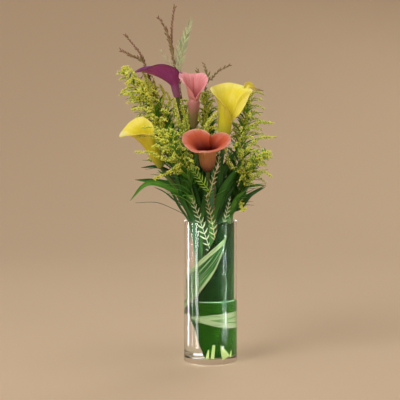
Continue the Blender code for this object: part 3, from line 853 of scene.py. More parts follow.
@dataclass(frozen=True)
class StemFinish:
    """A stem: green with fine streaks along it, paler towards its foot."""

    name: str
    low: Colour
    high: Colour
    streak: Colour
    foot: Colour = (0.42, 0.48, 0.16)
    gloss: float = 0.4

    def material(self) -> Material:
        """Builds the material."""
        shader = Shader(self.name, Roughness=self.gloss, Specular_IOR_Level=0.4)
        turn, along, _ = shader.place()
        height = shader.parts(shader.body())[2]
        ring = shader.maths("SINE", shader.times(turn, 2 * math.pi))
        lines = shader.streaks(ring, along, (4.0, 6.0), detail=3.0)
        colour = shader.blend(shader.rise(along, 0.3, 0.95), self.low, self.high)
        colour = shader.blend(shader.rise(height, 0.045, 0.012), colour, self.foot)
        shader.paint(shader.lay(colour, self.streak, lines, low=0.45, high=0.7, share=0.5))
        shader.relief(lines, depth=0.0004, strength=0.4)
        return shader.material


@dataclass(frozen=True)
class FloretFinish:
    """Small heads or beads: one colour at the base and brighter at the tip, each of its own tone."""

    name: str
    calyx: Colour
    petal: Colour
    bright: Colour

    def material(self) -> Material:
        """Builds the material."""
        shader = Shader(self.name, Roughness=0.6, Specular_IOR_Level=0.25, Sheen_Weight=0.1)
        bloom, height, tone = shader.place()
        cloud = shader.noise(shader.body(), scale=400.0)
        light = shader.maths("MULTIPLY_ADD", cloud, 0.4, shader.times(tone, 0.8))
        lit = shader.blend(light, self.petal, self.bright)
        reach = shader.maths("ADD", height, shader.maths("MULTIPLY_ADD", bloom, 0.7, -0.5))
        shader.paint(shader.blend(shader.rise(reach, 0.15, 0.5), self.calyx, lit))
        shader.relief(cloud, depth=0.0002, strength=0.5)
        return shader.material


@dataclass(frozen=True)
class TwigFinish:
    """A woody twig, its colour changing from its foot to its tip, with paler scars."""

    name: str
    low: Colour
    high: Colour
    scar: Colour

    def material(self) -> Material:
        """Builds the material."""
        shader = Shader(self.name, Roughness=0.6, Specular_IOR_Level=0.3)
        _, along, tone = shader.place()
        cloud = shader.noise(shader.body(), scale=260.0, detail=3.0, rough=0.6)
        shade = shader.maths("MULTIPLY_ADD", tone, 0.4, along)
        colour = shader.blend(shader.rise(shade, 0.35, 1.0), self.low, self.high)
        shader.paint(shader.lay(colour, self.scar, cloud, low=0.5, high=0.7, share=0.5))
        shader.relief(cloud, depth=0.0003, strength=0.5)
        return shader.material


@dataclass(frozen=True)
class FloorFinish:
    """A pale matt floor with a very faint mottle."""

    name: str
    colour: Colour

    def material(self) -> Material:
        """Builds the material."""
        shader = Shader(self.name, Roughness=0.9, Specular_IOR_Level=0.0)
        cloud = shader.noise(shader.body(), scale=3.0, detail=3.0)
        pale = tuple(value * 1.03 for value in self.colour)
        shader.paint(shader.blend(cloud, self.colour, pale))
        return shader.material


def soft_leaf(name: str, face: Colour, deep: Colour, vein: Colour, **others: float) -> LeafFinish:
    """A toothed frond's finish: soft and dull, with broad faint veins."""
    soft = {"veins": 3.0, "rib": 0.2, "vein_share": 0.3, "gloss": 0.5, **others}
    return LeafFinish(name, face, deep, vein, **soft)


CLEAR_GLASS = ClearFinish("clear_glass_finish", 1.5, (0.955, 0.97, 0.965), 0.00004)
WATER = ClearFinish("water_finish", 1.333, (0.95, 0.97, 0.955), 0.00002)
# The first two colours paint shade above the water and light in it.
LINING = LiningFinish(
    "lining_leaf_finish", (0.001, 0.008, 0.002), (0.006, 0.040, 0.001), (0.012, 0.052, 0.004)
)
STRIPED = StripedFinish(
    "striped_leaf_finish", (0.245, 0.285, 0.145), (0.035, 0.140, 0.016), (0.004, 0.025, 0.007)
)
GREEN_STEM = StemFinish("green_stem_finish", (0.070, 0.140, 0.030), (0.090, 0.140, 0.032), (0.15, 0.21, 0.07))
PALE_STALK = StemFinish("pale_stalk_finish", (0.29, 0.33, 0.11), (0.20, 0.28, 0.08), (0.40, 0.43, 0.20))
GOLDENROD_STEM = StemFinish(
    "goldenrod_stem_finish", (0.085, 0.190, 0.040), (0.160, 0.270, 0.060), (0.22, 0.33, 0.12)
)
FLORETS = FloretFinish("goldenrod_finish", (0.300, 0.500, 0.060), (0.860, 0.900, 0.065), (1.0, 1.0, 0.26))
SPADIX = FloretFinish("spadix_finish", (0.55, 0.36, 0.05), (0.72, 0.50, 0.08), (0.85, 0.66, 0.16))
GREEN_TWIG = TwigFinish("green_twig_finish", (0.200, 0.260, 0.060), (0.240, 0.150, 0.075), (0.36, 0.34, 0.14))
BROWN_TWIG = TwigFinish("brown_twig_finish", (0.300, 0.290, 0.090), (0.270, 0.110, 0.095), (0.42, 0.32, 0.17))
FLOOR = FloorFinish("pale_floor_finish", (0.56, 0.425, 0.29))


class Paint(Enum):
    """The finishes that leaves and fronds come in."""

    DEEP = LeafFinish("deep_leaf_finish", (0.040, 0.160, 0.022), (0.010, 0.055, 0.014), (0.09, 0.26, 0.05))
    FRESH = LeafFinish("fresh_leaf_finish", (0.105, 0.330, 0.030), (0.030, 0.130, 0.018), (0.22, 0.44, 0.08))
    BLUE = LeafFinish("blue_leaf_finish", (0.060, 0.180, 0.080), (0.016, 0.075, 0.036), (0.15, 0.30, 0.16))
    SILVER = soft_leaf("silver_frond_finish", (0.66, 0.80, 0.50), (0.48, 0.62, 0.34), (0.78, 0.86, 0.64))
    SAGE = soft_leaf("sage_frond_finish", (0.60, 0.72, 0.38), (0.20, 0.28, 0.12), (0.82, 0.9, 0.68), rib=0.25)
    TAN = soft_leaf("tan_frond_finish", (0.60, 0.60, 0.30), (0.38, 0.36, 0.16), (0.66, 0.64, 0.38))
    NEEDLE = soft_leaf(
        "needle_sprig_finish", (0.32, 0.56, 0.05), (0.14, 0.32, 0.03), (0.55, 0.66, 0.16), gloss=0.45
    )


_MADE: dict[str, Material] = {}


def made(finish: Finish) -> Material:
    """The material of a finish, built once."""
    if finish.name not in _MADE:
        _MADE[finish.name] = finish.material()
    return _MADE[finish.name]


# ---- The vase and what lines it ----


@dataclass
class GlassVase:
    """The clear cylinder, its rim and foot rounded and its base thick."""

    radius: float = VASE_RADIUS
    wall: float = VASE_WALL
    height: float = VASE_HEIGHT
    base: float = VASE_BASE
    sides: int = 192
    rim_round: float = 0.0012
    foot_round: float = 0.0020
    floor_round: float = 0.0035

    def build(self) -> Piece:
        """Models the vase from a cylinder: its top is inset, then pushed down, and its edges are rounded."""
        piece = upright("glass_vase", self.sides, 0.0, self.height, self.radius, self.radius)
        edit_face(piece)
        bpy.ops.mesh.inset(thickness=self.wall)
        bpy.ops.mesh.extrude_region_move(TRANSFORM_OT_translate={"value": (0, 0, self.base - self.height)})
        bpy.ops.object.mode_set(mode="OBJECT")
        self.round_edges(piece, self.height, self.rim_round)
        self.round_edges(piece, 0.0, self.foot_round)
        self.round_edges(piece, self.base, self.floor_round)
        even_normals(piece)
        piece.data.materials.append(made(CLEAR_GLASS))
        return settle(piece, "clear_glass", "cylinder_vase")

    def round_edges(self, piece: Piece, level: float, width: float) -> None:
        """Rounds the ring edges at a level.

        Args:
            piece: The vase.
            level: The height of the rings.
            width: How far the rounding reaches.
        """
        bpy.ops.object.mode_set(mode="EDIT")
        bpy.ops.mesh.select_mode(type="EDGE")
        bpy.ops.mesh.select_all(action="DESELECT")
        bpy.ops.object.mode_set(mode="OBJECT")
        for edge in piece.data.edges:
            ends = [piece.data.vertices[v].co for v in edge.vertices]
            reaches = [math.hypot(*end.xy) for end in ends]
            on_level = all(abs(end.z - level) < 1e-5 for end in ends)
            on_wall = min(reaches) > self.radius - self.wall - 1e-4
            edge.select = on_level and on_wall and abs(reaches[0] - reaches[1]) <= 1e-4
        bpy.ops.object.mode_set(mode="EDIT")
        bpy.ops.mesh.bevel(offset=width, segments=4, affect="EDGES")
        bpy.ops.mesh.select_mode(type="VERT")
        bpy.ops.object.mode_set(mode="OBJECT")


@dataclass
class Water:
    """The water: it meets the glass, and climbs a little up its wall.

    Each dip gives how far the top is inset, and the share of the climb that it drops there.
    """

    overlap: float = 0.00008
    climb: float = 0.0010
    dips: tuple[tuple[float, float], ...] = ((0.0004, 0.45), (0.0006, 0.3), (0.0010, 0.18), (0.0015, 0.07))
    sides: int = 192
    foot_round: float = 0.0035

    def build(self) -> None:
        """Models the water from a cylinder whose top is inset and dips from its edge."""
        radius = BORE_RADIUS + self.overlap
        piece = upright("vase_water", self.sides, VASE_BASE - self.overlap, WATER_LEVEL, radius, radius)
        edit_face(piece)
        for inset, drop in self.dips:
            bpy.ops.mesh.inset(thickness=inset)
            bpy.ops.transform.translate(value=(0, 0, -drop * self.climb))
        edit_face(piece, lowest=True)
        bpy.ops.mesh.bevel(offset=self.foot_round, segments=4, affect="EDGES")
        bpy.ops.object.mode_set(mode="OBJECT")
        even_normals(piece)
        piece.data.materials.append(made(WATER))
        settle(piece, "water", "water")


def on_glass(radius: Array | float, turn: Array, level: Array) -> Array:
    """Points at a radius from the vase's axis, turned from +X in degrees."""
    angle = np.radians(turn)
    return np.stack(np.broadcast_arrays(radius * np.cos(angle), radius * np.sin(angle), level), axis=-1)


@dataclass
class LiningLeaf:
    """The broad dark leaf that lines the front and right of the bore, and a second one at its left edge."""

    radius: float = 0.0400
    thickness: float = 0.0005
    levels: tuple[float, ...] = (0.0125, 0.022, 0.060, 0.110, 0.165, 0.190, 0.213, 0.2365)
    lefts: tuple[float, ...] = (-103, -110, -114, -119, -116, -97, -80, -72)
    rights: tuple[float, ...] = (6, 14, 22, 25, 25, 22, 20, 16)
    rows: int = 60
    columns: int = 100
    ridges: float = 34
    ridge_height: float = 0.00012
    wave: float = 0.0015
    wing_levels: tuple[float, ...] = (0.0150, 0.0320, 0.0589, 0.0724, 0.0880, 0.1042, 0.1140)
    wing_lefts: tuple[float, ...] = (-104, -117, -130, -143, -146, -147, -138)
    wing_right: float = -98.0
    wing_rows: int = 40
    wing_columns: int = 24
    tone: float = 0.6

    def build(self) -> None:
        """Draws the leaf on the glass, with shallow ridges along its veins and waves in its top."""
        edges = smooth_path(np.column_stack([self.levels, self.lefts, self.rights]), self.rows)
        across = np.linspace(-1, 1, self.columns)[None, :]
        along = np.linspace(0, 1, self.rows)[:, None]
        middle = ((edges[:, 1] + edges[:, 2]) / 2)[:, None]
        half = ((edges[:, 2] - edges[:, 1]) / 2)[:, None]
        ridges = np.cos(across * self.ridges * math.pi + along * 3) * self.ridge_height
        level = edges[:, :1] + self.wave * np.sin(across * 7) * ease(along, 0.8, 1)
        points = on_glass(self.radius - 0.0003 + ridges, middle + half * across, level)
        sheet = (points, grid_place(across, along, self.tone))
        settle(sheet_piece("lining_leaf_piece", sheet, self.thickness, LINING), "green_leaf", "lining_leaf")
        self.build_wing()

    def build_wing(self) -> None:
        """The second leaf, whose edge shows to the left of the first in the water."""
        edge = smooth_path(np.column_stack([self.wing_levels, self.wing_lefts]), self.wing_rows)
        across = np.linspace(-1, 1, self.wing_columns)[None, :]
        along = np.linspace(0, 1, self.wing_rows)[:, None]
        turn = edge[:, 1:2] + (self.wing_right - edge[:, 1:2]) * (across + 1) / 2
        points = on_glass(self.radius - 0.0010, turn, edge[:, :1])
        sheet = (points, grid_place(across * 0.3, along, self.tone))
        settle(sheet_piece("inner_lining_leaf", sheet, self.thickness, LINING), "green_leaf")


@dataclass
class LeafStalks:
    """The pale stalk ends of the lining leaves, on the vase's floor.

    Each has its turn in degrees, the levels of its foot and its top, half its width, the share of
    that width that is left at its top, and how many degrees it leans.
    """

    radius: float = 0.0405
    stalks: tuple[tuple[float, ...], ...] = (
        (-86, 0.0115, 0.0340, 0.0027, 0.9, 3),
        (-53, 0.0114, 0.0325, 0.0075, 0.1, -14),
        (-98, 0.0118, 0.0262, 0.0026, 0.3, 3),
        (-40, 0.0114, 0.0220, 0.0026, 0.2, 4),
    )

    def build(self) -> None:
        """Draws each stalk as a flat tapering tube that stands against the glass."""
        forms = []
        share = np.linspace(0, 1, 12)
        for turn, low, high, half, top, lean in self.stalks:
            path = on_glass(self.radius, turn + lean * share, low + (high - low) * share)
            widths = half * (1 - (1 - top) * share**1.4)
            along_glass = on_glass(1.0, np.array([turn + 90.0]), np.array([0.0]))[0]
            forms.append(tube(path, widths, widths * 0.25, sides=12, across=along_glass, tone=0.9))
        settle(solid_piece("leaf_stalk_ends", forms, PALE_STALK), "green_leaf")


@dataclass
class CoiledLeaf:
    """The striped leaf that winds round inside the glass.

    The lists give its spine's turn in degrees and its level, and half its width. The margins give
    the shares of its length, and how many millimetres of cream its edge has there.
    """

    radius: float = 0.0412
    thickness: float = 0.0005
    turns: tuple[float, ...] = (-51, -58, -66, -90, -135, -180, -225, -270, -315, -360, -405, -450, -503)
    middles: tuple[float, ...] = (
        0.2145, 0.2055, 0.194, 0.169, 0.135, 0.1145, 0.104, 0.097, 0.086, 0.074, 0.073, 0.0755, 0.078,
    )
    halves: tuple[float, ...] = (
        0.0008, 0.0045, 0.012, 0.0222, 0.028, 0.0275, 0.027, 0.024, 0.019, 0.0155, 0.0125, 0.0085, 0.001,
    )
    upper_margin: tuple[tuple[float, ...], ...] = ((0, 0.083, 0.167, 0.6, 0.7, 1), (3, 6, 8.5, 9, 22, 22))
    lower_margin: tuple[tuple[float, ...], ...] = (
        (0, 0.083, 0.167, 0.333, 0.6, 0.7, 1),
        (1.5, 2.5, 4, 7.5, 9, 22, 22),
    )
    rows: int = 164
    columns: int = 27
    ridges: float = 11
    ridge_height: float = 0.0001

    def build(self) -> None:
        """Draws the leaf on the glass along its spine."""
        spine = smooth_path(np.column_stack([self.turns, self.middles, self.halves]), self.rows)
        turn, middle, half = spine[:, :1], spine[:, 1:2], spine[:, 2:3]
        across = np.linspace(-1, 1, self.columns)[None, :]
        along = np.linspace(0, 1, self.rows)[:, None]
        ridges = np.cos(across * self.ridges * math.pi) * self.ridge_height
        points = on_glass(self.radius + ridges, turn, middle + half * across)
        width = half / MM * across
        upper, lower = np.interp(along, *self.upper_margin), np.interp(along, *self.lower_margin)
        margin = np.where(across < 0, lower, upper)
        sheet = (points, grid_place(width, along, (half / MM - np.abs(width)) / margin))
        piece = sheet_piece("coiled_leaf_piece", sheet, self.thickness, STRIPED)
        settle(piece, "striped_leaf", "coiled_leaf")


# ---- Calla lilies ----


@dataclass
class Calla:
    """One calla lily. The rim lists go from one edge of the rolled sheet, past the tip, to the other."""

    name: str
    rim: tuple[float, float]
    above: Points
    axis: Triple
    tip_way: Triple
    reach: tuple[float, ...]
    rise: tuple[float, ...]
    lean: tuple[float, ...]
    tube_radius: float
    throat: float
    turn: tuple[float, ...]
    inside: PetalFinish
    outside: PetalFinish
    slot: str
    belly: float = 0.5
    pinch: float = 0.0
    ruffle: float = 0.0006
    creases: tuple[Triple, ...] = ((0.0, -0.5, 0.03),)
    roll: float = 0.0012
    tip_u: float = 0.0
    neck: float = 0.0030
    foot_radius: float = 0.0036
    spiral: float = 0.0007
    lap: float = 0.5
    sheet: float = 0.0008
    rows: int = 46
    columns: int = 98
    tube_share: float = 0.35
    tip_spot: float = 0.02
    beads: int = 260
    bead_radius: float = 0.00075
    finger_radius: float = 0.0021
    core_radius: float = 0.0019

    def directions(self) -> tuple[Array, Array, Array]:
        """The tip's side, the other side, and up the tube."""
        up = unit(np.array(self.axis))
        tip = square_to(up, np.array(self.tip_way))
        return tip, np.cross(up, tip), up

    def origin(self) -> Array:
        """The stem's end, on which the flower sits."""
        return millimetres(self.above[-1])

    def stem_line(self) -> Array:
        """The middle line of the stem."""
        return stem_path(self.rim, self.above, 40, np.array(self.axis))

    def rim_values(self, values: Sequence[float], u: Array) -> Array:
        """Reads a rim list on a smooth curve.

        Args:
            values: The list.
            u: Where to read it, from -1 to 1.

        Returns:
            The values there.
        """
        knots = np.column_stack([np.linspace(-1, 1, len(values)), values])
        read = smooth_path(knots, 16 * (len(values) - 1) + 1)
        return np.interp(u, read[:, 0], read[:, 1])

    def profile(self, u: Array, v: Array) -> Array:
        """The smooth curve from the base to the lip at each place round the flower.

        Args:
            u: Places from edge to edge, from -1 to 1.
            v: Places from the base to the lip, from 0 to 1.

        Returns:
            The radius and the height, as rows along v by columns along u by two.
        """
        reach = self.rim_values(self.reach, u) * MM
        rise = self.rim_values(self.rise, u) * MM
        lean = np.radians(self.rim_values(self.lean, u))
        base = np.array([self.neck + GAP + self.sheet + self.spiral, -0.002])
        lip = np.stack([reach, rise], axis=-1)
        throat = np.array([self.tube_radius, max(self.rise) * MM * self.throat])
        pull = 0.45 * np.linalg.norm(lip - throat, axis=-1)
        flare = lip - pull[:, None] * np.stack([np.cos(lean), np.sin(lean)], axis=-1)
        shoulder = np.array([self.tube_radius, throat[1] * self.belly])
        low = np.clip(v / self.tube_share, 0, 1)[:, None, None]
        high = np.clip((v - self.tube_share) / (1 - self.tube_share), 0, 1)[:, None, None]
        tube_part = (1 - low) ** 2 * base + 2 * low * (1 - low) * shoulder + low**2 * throat
        above = throat + throat * (0, 0.3) * np.minimum(1.0, pull / 0.008)[:, None]
        bell = (1 - high) ** 3 * throat + 3 * high * (1 - high) ** 2 * above[None]
        bell = bell + 3 * high**2 * (1 - high) * flare[None] + high**3 * lip[None]
        return np.where((v < self.tube_share)[:, None, None], tube_part, bell)

    def sheet_points(self, u: Array, v: Array) -> Array:
        """Points of the rolled sheet, with its ribs, ruffles, creases and curled lip.

        Args:
            u: Places from edge to edge, from -1 to 1.
            v: Places from the base to the lip, from 0 to 1.

        Returns:
            The points, as rows along v by columns along u.
        """
        both = self.profile(u, v)
        radius, height = both[..., 0], both[..., 1]
        ribs = 0.00012 * np.cos(u * 31 * math.pi)[None] * np.sin(math.pi * np.clip(v, 0, 1))[:, None]
        waves = np.sin(u * 11 + 0.6)[None] + 0.6 * np.sin(u * 23 + 1.7)[None]
        radius = radius * (1 - self.pinch * np.exp(-(((v - 0.42) / 0.07) ** 2)))[:, None]
        radius = radius + self.spiral * u[None] + ribs
        height = height + self.ruffle * waves * (ease(v, 0.6, 1.0) ** 2)[:, None]
        for middle, depth, width in self.creases:
            fold = depth * MM * np.exp(-(((u - middle) / width) ** 2))
            radius = radius + fold[None] * (ease(v, 0.3, 0.65) * (1 - 0.5 * ease(v, 0.85, 1.0)))[:, None]
        curl = ease(v, 0.88, 1.0)[:, None]
        radius, height = radius + 0.5 * self.roll * curl, height - self.roll * curl**2
        lap = self.lap / 2 * (1 - np.minimum(1.0, v / 0.6))[:, None]
        tip, side, up = self.directions()
        out = turned(tip, side, np.radians(self.rim_values(self.turn, u))[None] + u[None] * lap)
        return self.origin() + up * height[..., None] + out * radius[..., None]

    def build(self) -> None:
        """Builds the stem, which is slimmer towards the flower, then the spathe and the spadix."""
        stem = tapered(self.stem_line(), self.foot_radius, self.neck, sides=20)
        settle(solid_piece(f"{self.name}_stalk", [stem], GREEN_STEM), "green_stem", f"{self.name}_stem")
        self.build_spathe()
        self.build_spadix()

    def build_spathe(self) -> None:
        """The rolled sheet, its inside and its outside each with its own finish."""
        u, v = np.linspace(-1, 1, self.columns), np.linspace(0, 1, self.rows)
        points = self.sheet_points(u, v)
        tip = self.sheet_points(np.array([self.tip_u]), np.array([1.0]))[0, 0]
        place = grid_place(u[None], v[:, None], np.linalg.norm(points - tip, axis=2) / self.tip_spot)
        flower = sheet_piece(f"{self.name}_flower", (points, place), self.sheet, self.outside, self.inside)
        settle(flower, self.slot, f"{self.name}_spathe")

    def build_spadix(self) -> None:
        """The finger of small beads inside the flower."""
        tip, side, up = self.directions()
        length = 0.42 * max(self.rise) * MM
        share = np.linspace(0, 1, self.beads)
        taper = np.sqrt(np.maximum(0.02, 1 - share**3))
        profile = self.finger_radius * taper * (0.75 + 0.25 * ease(share, 0, 0.2))
        out = turned(tip, side, np.arange(self.beads) * GOLDEN_ANGLE)
        start = self.origin() + up * 2 * GAP
        centres = start + up * (share * (length - 0.0012) + 0.0006)[:, None] + out * profile[:, None]
        axes = np.stack([np.cross(up, out), np.broadcast_to(up, out.shape), out], axis=-1)
        spine = start + up * (np.linspace(0.02, 0.97, 12) * length)[:, None]
        core = tube(spine, self.core_radius * np.sqrt(1 - np.linspace(0, 0.97, 12) ** 4), sides=12)
        tones = np.column_stack([np.full(self.beads, 0.9), share])
        beads = bead_form().spread(centres, axes, np.full(self.beads, self.bead_radius), tones)
        settle(solid_piece(f"{self.name}_finger", [core, beads], SPADIX), "spadix", f"{self.name}_spadix")


@dataclass
class DryTip:
    """The curled dry tip that ends a spathe: its points and its width are in millimetres."""

    name: str
    points: Points
    width: float
    face: Triple
    slot: str
    finish: PetalFinish
    thickness: float = 0.0008

    def build(self) -> None:
        """Draws the tip as a folded strip that narrows to its end."""
        route = smooth_path(millimetres(self.points), 26)
        half, face = self.width * MM / 2, np.array(self.face)
        sheet = lance_leaf(route, half, face, widest=0.2, fold=0.7, wave=0.12, tone=0.7, columns=9)
        settle(sheet_piece(self.name, sheet, self.thickness, self.finish), self.slot)


def bead_form() -> Form:
    """A small faceted bead of unit radius."""
    deselect()
    bpy.ops.mesh.primitive_ico_sphere_add(subdivisions=1, radius=1.0)
    return form_of(bpy.context.active_object)


def bud_form() -> Form:
    """A goldenrod bud: a pointed drop one unit long, from the origin along +Z."""
    piece = upright("bud", 4, 0.0, 0.5, 0.21, 0.21)
    edit_face(piece)
    bpy.ops.transform.resize(value=(1.5, 1.5, 1.0))
    bpy.ops.mesh.extrude_region_move(TRANSFORM_OT_translate={"value": (0, 0, 0.5)})
    bpy.ops.transform.resize(value=(0.35, 0.35, 1.0))
    bpy.ops.object.mode_set(mode="OBJECT")
    return form_of(piece)


def open_head_form(petals: int = 5) -> Form:
    """An open goldenrod head: a cup with a ring of short petals standing out of it."""
    piece = upright("head", 4, 0.0, 0.55, 0.13, 0.34)
    edit_face(piece)
    bpy.ops.mesh.inset(thickness=0.12)
    bpy.ops.transform.translate(value=(0, 0, 0.26))
    bpy.ops.object.mode_set(mode="OBJECT")
    forms = [form_of(piece)]
    place = np.array([[0, 0.7, 0], [0, 0.7, 0], [0, 1.0, 0], [0, 0.8, 0]])
    faces = np.array([[0, 1, 2], [1, 3, 2], [3, 0, 2], [0, 3, 1]])
    for index in range(petals):
        turn = (index + 0.5) * 2 * math.pi / petals
        out = np.array([math.cos(turn), math.sin(turn), 0.0])
        side = np.array([-math.sin(turn), math.cos(turn), 0.0])
        low, tip = out * 0.22 + UP * 0.5, out * 0.66 + UP * 0.88
        corners = [low - side * 0.15, low + side * 0.15, tip, low * (0.8, 0.8, 1.0) + UP * 0.14]
        forms.append(Form(np.array(corners), [faces], place))
    return joined(forms)


# ---- Room in the bouquet ----


@dataclass
class Room:
    """The flowers' sheets, which the scattered branches and leaves keep clear of."""

    points: list[Array] = field(default_factory=list)
    least_height: float = 0.012
    past_box: float = 0.008

    def add(self, calla: Calla) -> None:
        """Adds one calla's spathe."""
        self.points.append(calla.sheet_points(np.linspace(-1, 1, 41), np.linspace(0, 1, 21)).reshape(-1, 3))

    def clear(self, path: Array, margin: float) -> bool:
        """Whether a path keeps clear of every flower and of the ground, and stays near the CAD box."""
        if path[:, 2].min() < self.least_height:
            return False
        spans = np.linalg.norm(path[:, None] - np.vstack(self.points)[None], axis=2)
        low, high = np.array(CAD_BOX[0]) - self.past_box, np.array(CAD_BOX[1]) + self.past_box
        inside = (path > low).all() and (path < high).all()
        return bool(inside and spans.min() > margin)


# ---- Leaves ----


def lance_leaf(
    route: Array,
    half: float,
    face: Array,
    widest: float = 0.45,
    fold: float = 0.25,
    wave: float = 0.06,
    tone: float = 0.5,
    columns: int = 7,
) -> Sheet:
    """Draws a long pointed leaf along a route.

    Args:
        route: The leaf's midrib.
        half: Half its greatest width.
        face: The side that its face looks to.
        widest: The share of its length at which it is widest.
        fold: How far its halves rise beside the midrib, as a share of their width.
        wave: How far its edges wave, as a share of the width.
        tone: The third value of its place.
        columns: Points across it.

    Returns:
        The leaf's sheet.
    """
    share = np.linspace(0, 1, len(route))
    rising = np.sin(math.pi / 2 * np.minimum(1, share / widest))
    falling = np.cos(math.pi / 2 * np.maximum(0, (share - widest) / (1 - widest)))
    width = np.maximum(0.0004, half * rising**1.1 * falling**0.8)
    ways = tangents(route)
    side = unit(np.cross(ways, np.broadcast_to(face, ways.shape)))
    normal = np.cross(side, ways)
    across = np.linspace(-1, 1, columns)
    waves = wave * np.sin(share * 17 + tone * 9)[:, None] * across[None] ** 2
    lift = fold * np.abs(across)[None] ** 1.3 + waves
    points = route[:, None] + side[:, None] * (width[:, None] * across[None])[..., None]
    points = points + normal[:, None] * (width[:, None] * lift)[..., None]
    return points, grid_place(across[None], share[:, None], tone)


@dataclass
class Blade:
    """A long leaf seated on a stem at a level, then through its points to its tip, all in millimetres."""

    name: str
    carrier: str
    level: float
    points: Points
    width: float
    face: Triple
    paint: Paint = Paint.DEEP
    widest: float = 0.45
    tone: float = 0.5
    thickness: float = 0.0006

    def build(self, lines: dict[str, tuple[Array, float]]) -> None:
        """Builds the leaf.

        Args:
            lines: The middle line and the radius of each stem.
        """
        path, radius = lines[self.carrier]
        points = millimetres(self.points)
        seat = at_height(path, self.level * MM)
        start = seat + unit((points[0] - seat) * (1, 1, 0.2)) * (radius + GAP)
        route = smooth_path(np.vstack([start, points]), 40)
        face = unit(np.array(self.face))
        sheet = lance_leaf(route, self.width * MM / 2, face, self.widest, tone=self.tone, columns=13)
        piece = sheet_piece(f"{self.name}_piece", sheet, self.thickness, self.paint.value)
        settle(piece, "green_leaf", self.name)


@dataclass
class Frond:
    """A toothed frond: a midrib with a pair of narrow teeth at each step, all in one plane."""

    name: str
    points: Points
    tooth: float  # length of the longest teeth, in millimetres
    step: float  # distance between pairs, in millimetres
    paint: Paint
    slot: str
    face: Triple = (0, -1, 0)
    rib: float = 0.5  # radius of the midrib, in millimetres
    slant: float = 48.0
    lowest: float = 0.0  # level at which the teeth begin, in millimetres
    below: Points = ()  # points below the rim
    tooth_width: float = 0.17
    thickness: float = 0.00045
    seed: int = 1

    def build(self) -> None:
        """Builds the midrib, with its stalk in the vase where it has one, and its teeth as one piece."""
        rng = np.random.default_rng(self.seed)
        route = smooth_path(millimetres((*self.below, *self.points)), 60)
        marks, ways = distances(route), tangents(route)
        whole = marks[-1]
        forms = [tube(route, self.rib * MM * (1.15 - 0.8 * (marks / whole)), sides=8, tone=0.9)]
        place = start = np.interp(self.lowest * MM, route[:, 2], marks) if self.lowest else whole * 0.04
        while place < whole - 0.001:
            share = (place - start) / (whole - start)
            node, way = read_at(route, marks, place), unit(read_at(ways, marks, place))
            forms += [self.tooth_form(node, way, hand, share, rng) for hand in (-1, 1)]
            place += self.step * MM * (1 - 0.2 * share)
        settle(solid_piece(f"{self.name}_piece", forms, self.paint.value), self.slot, self.name)

    def tooth_form(self, node: Array, way: Array, hand: int, share: float, rng: Scatter) -> Form:
        """One tooth.

        Args:
            node: Where it leaves the midrib.
            way: The midrib's direction there.
            hand: The side on which it grows, as -1 or 1.
            share: How far up the toothed length it is.
            rng: Where the small differences come from.

        Returns:
            The tooth.
        """
        side = unit(np.cross(way, self.face))
        normal = np.cross(side, way)
        grow = (0.45 + 0.55 * ease(share, 0.0, 0.25)) * (1 - 0.55 * ease(share, 0.5, 1.0))
        slant = math.radians(self.slant * rng.uniform(0.85, 1.1) * (1 - 0.35 * share))
        size = self.tooth * MM * grow * rng.uniform(0.85, 1.1)
        out = way * math.cos(slant) + side * hand * math.sin(slant) + normal * rng.uniform(-0.12, 0.12)
        middle = node + unit(out) * size * 0.5
        tip = node + unit(out) * size + way * 0.16 * size * 0.5
        path = smooth_path(np.array([node, middle, tip]), 6)
        half, tone = size * self.tooth_width / 2, rng.uniform(0.0, 1.0)
        sheet = lance_leaf(path, half, normal, widest=0.4, fold=0.15, wave=0.0, tone=tone, columns=3)
        return thin_solid(*sheet, self.thickness)


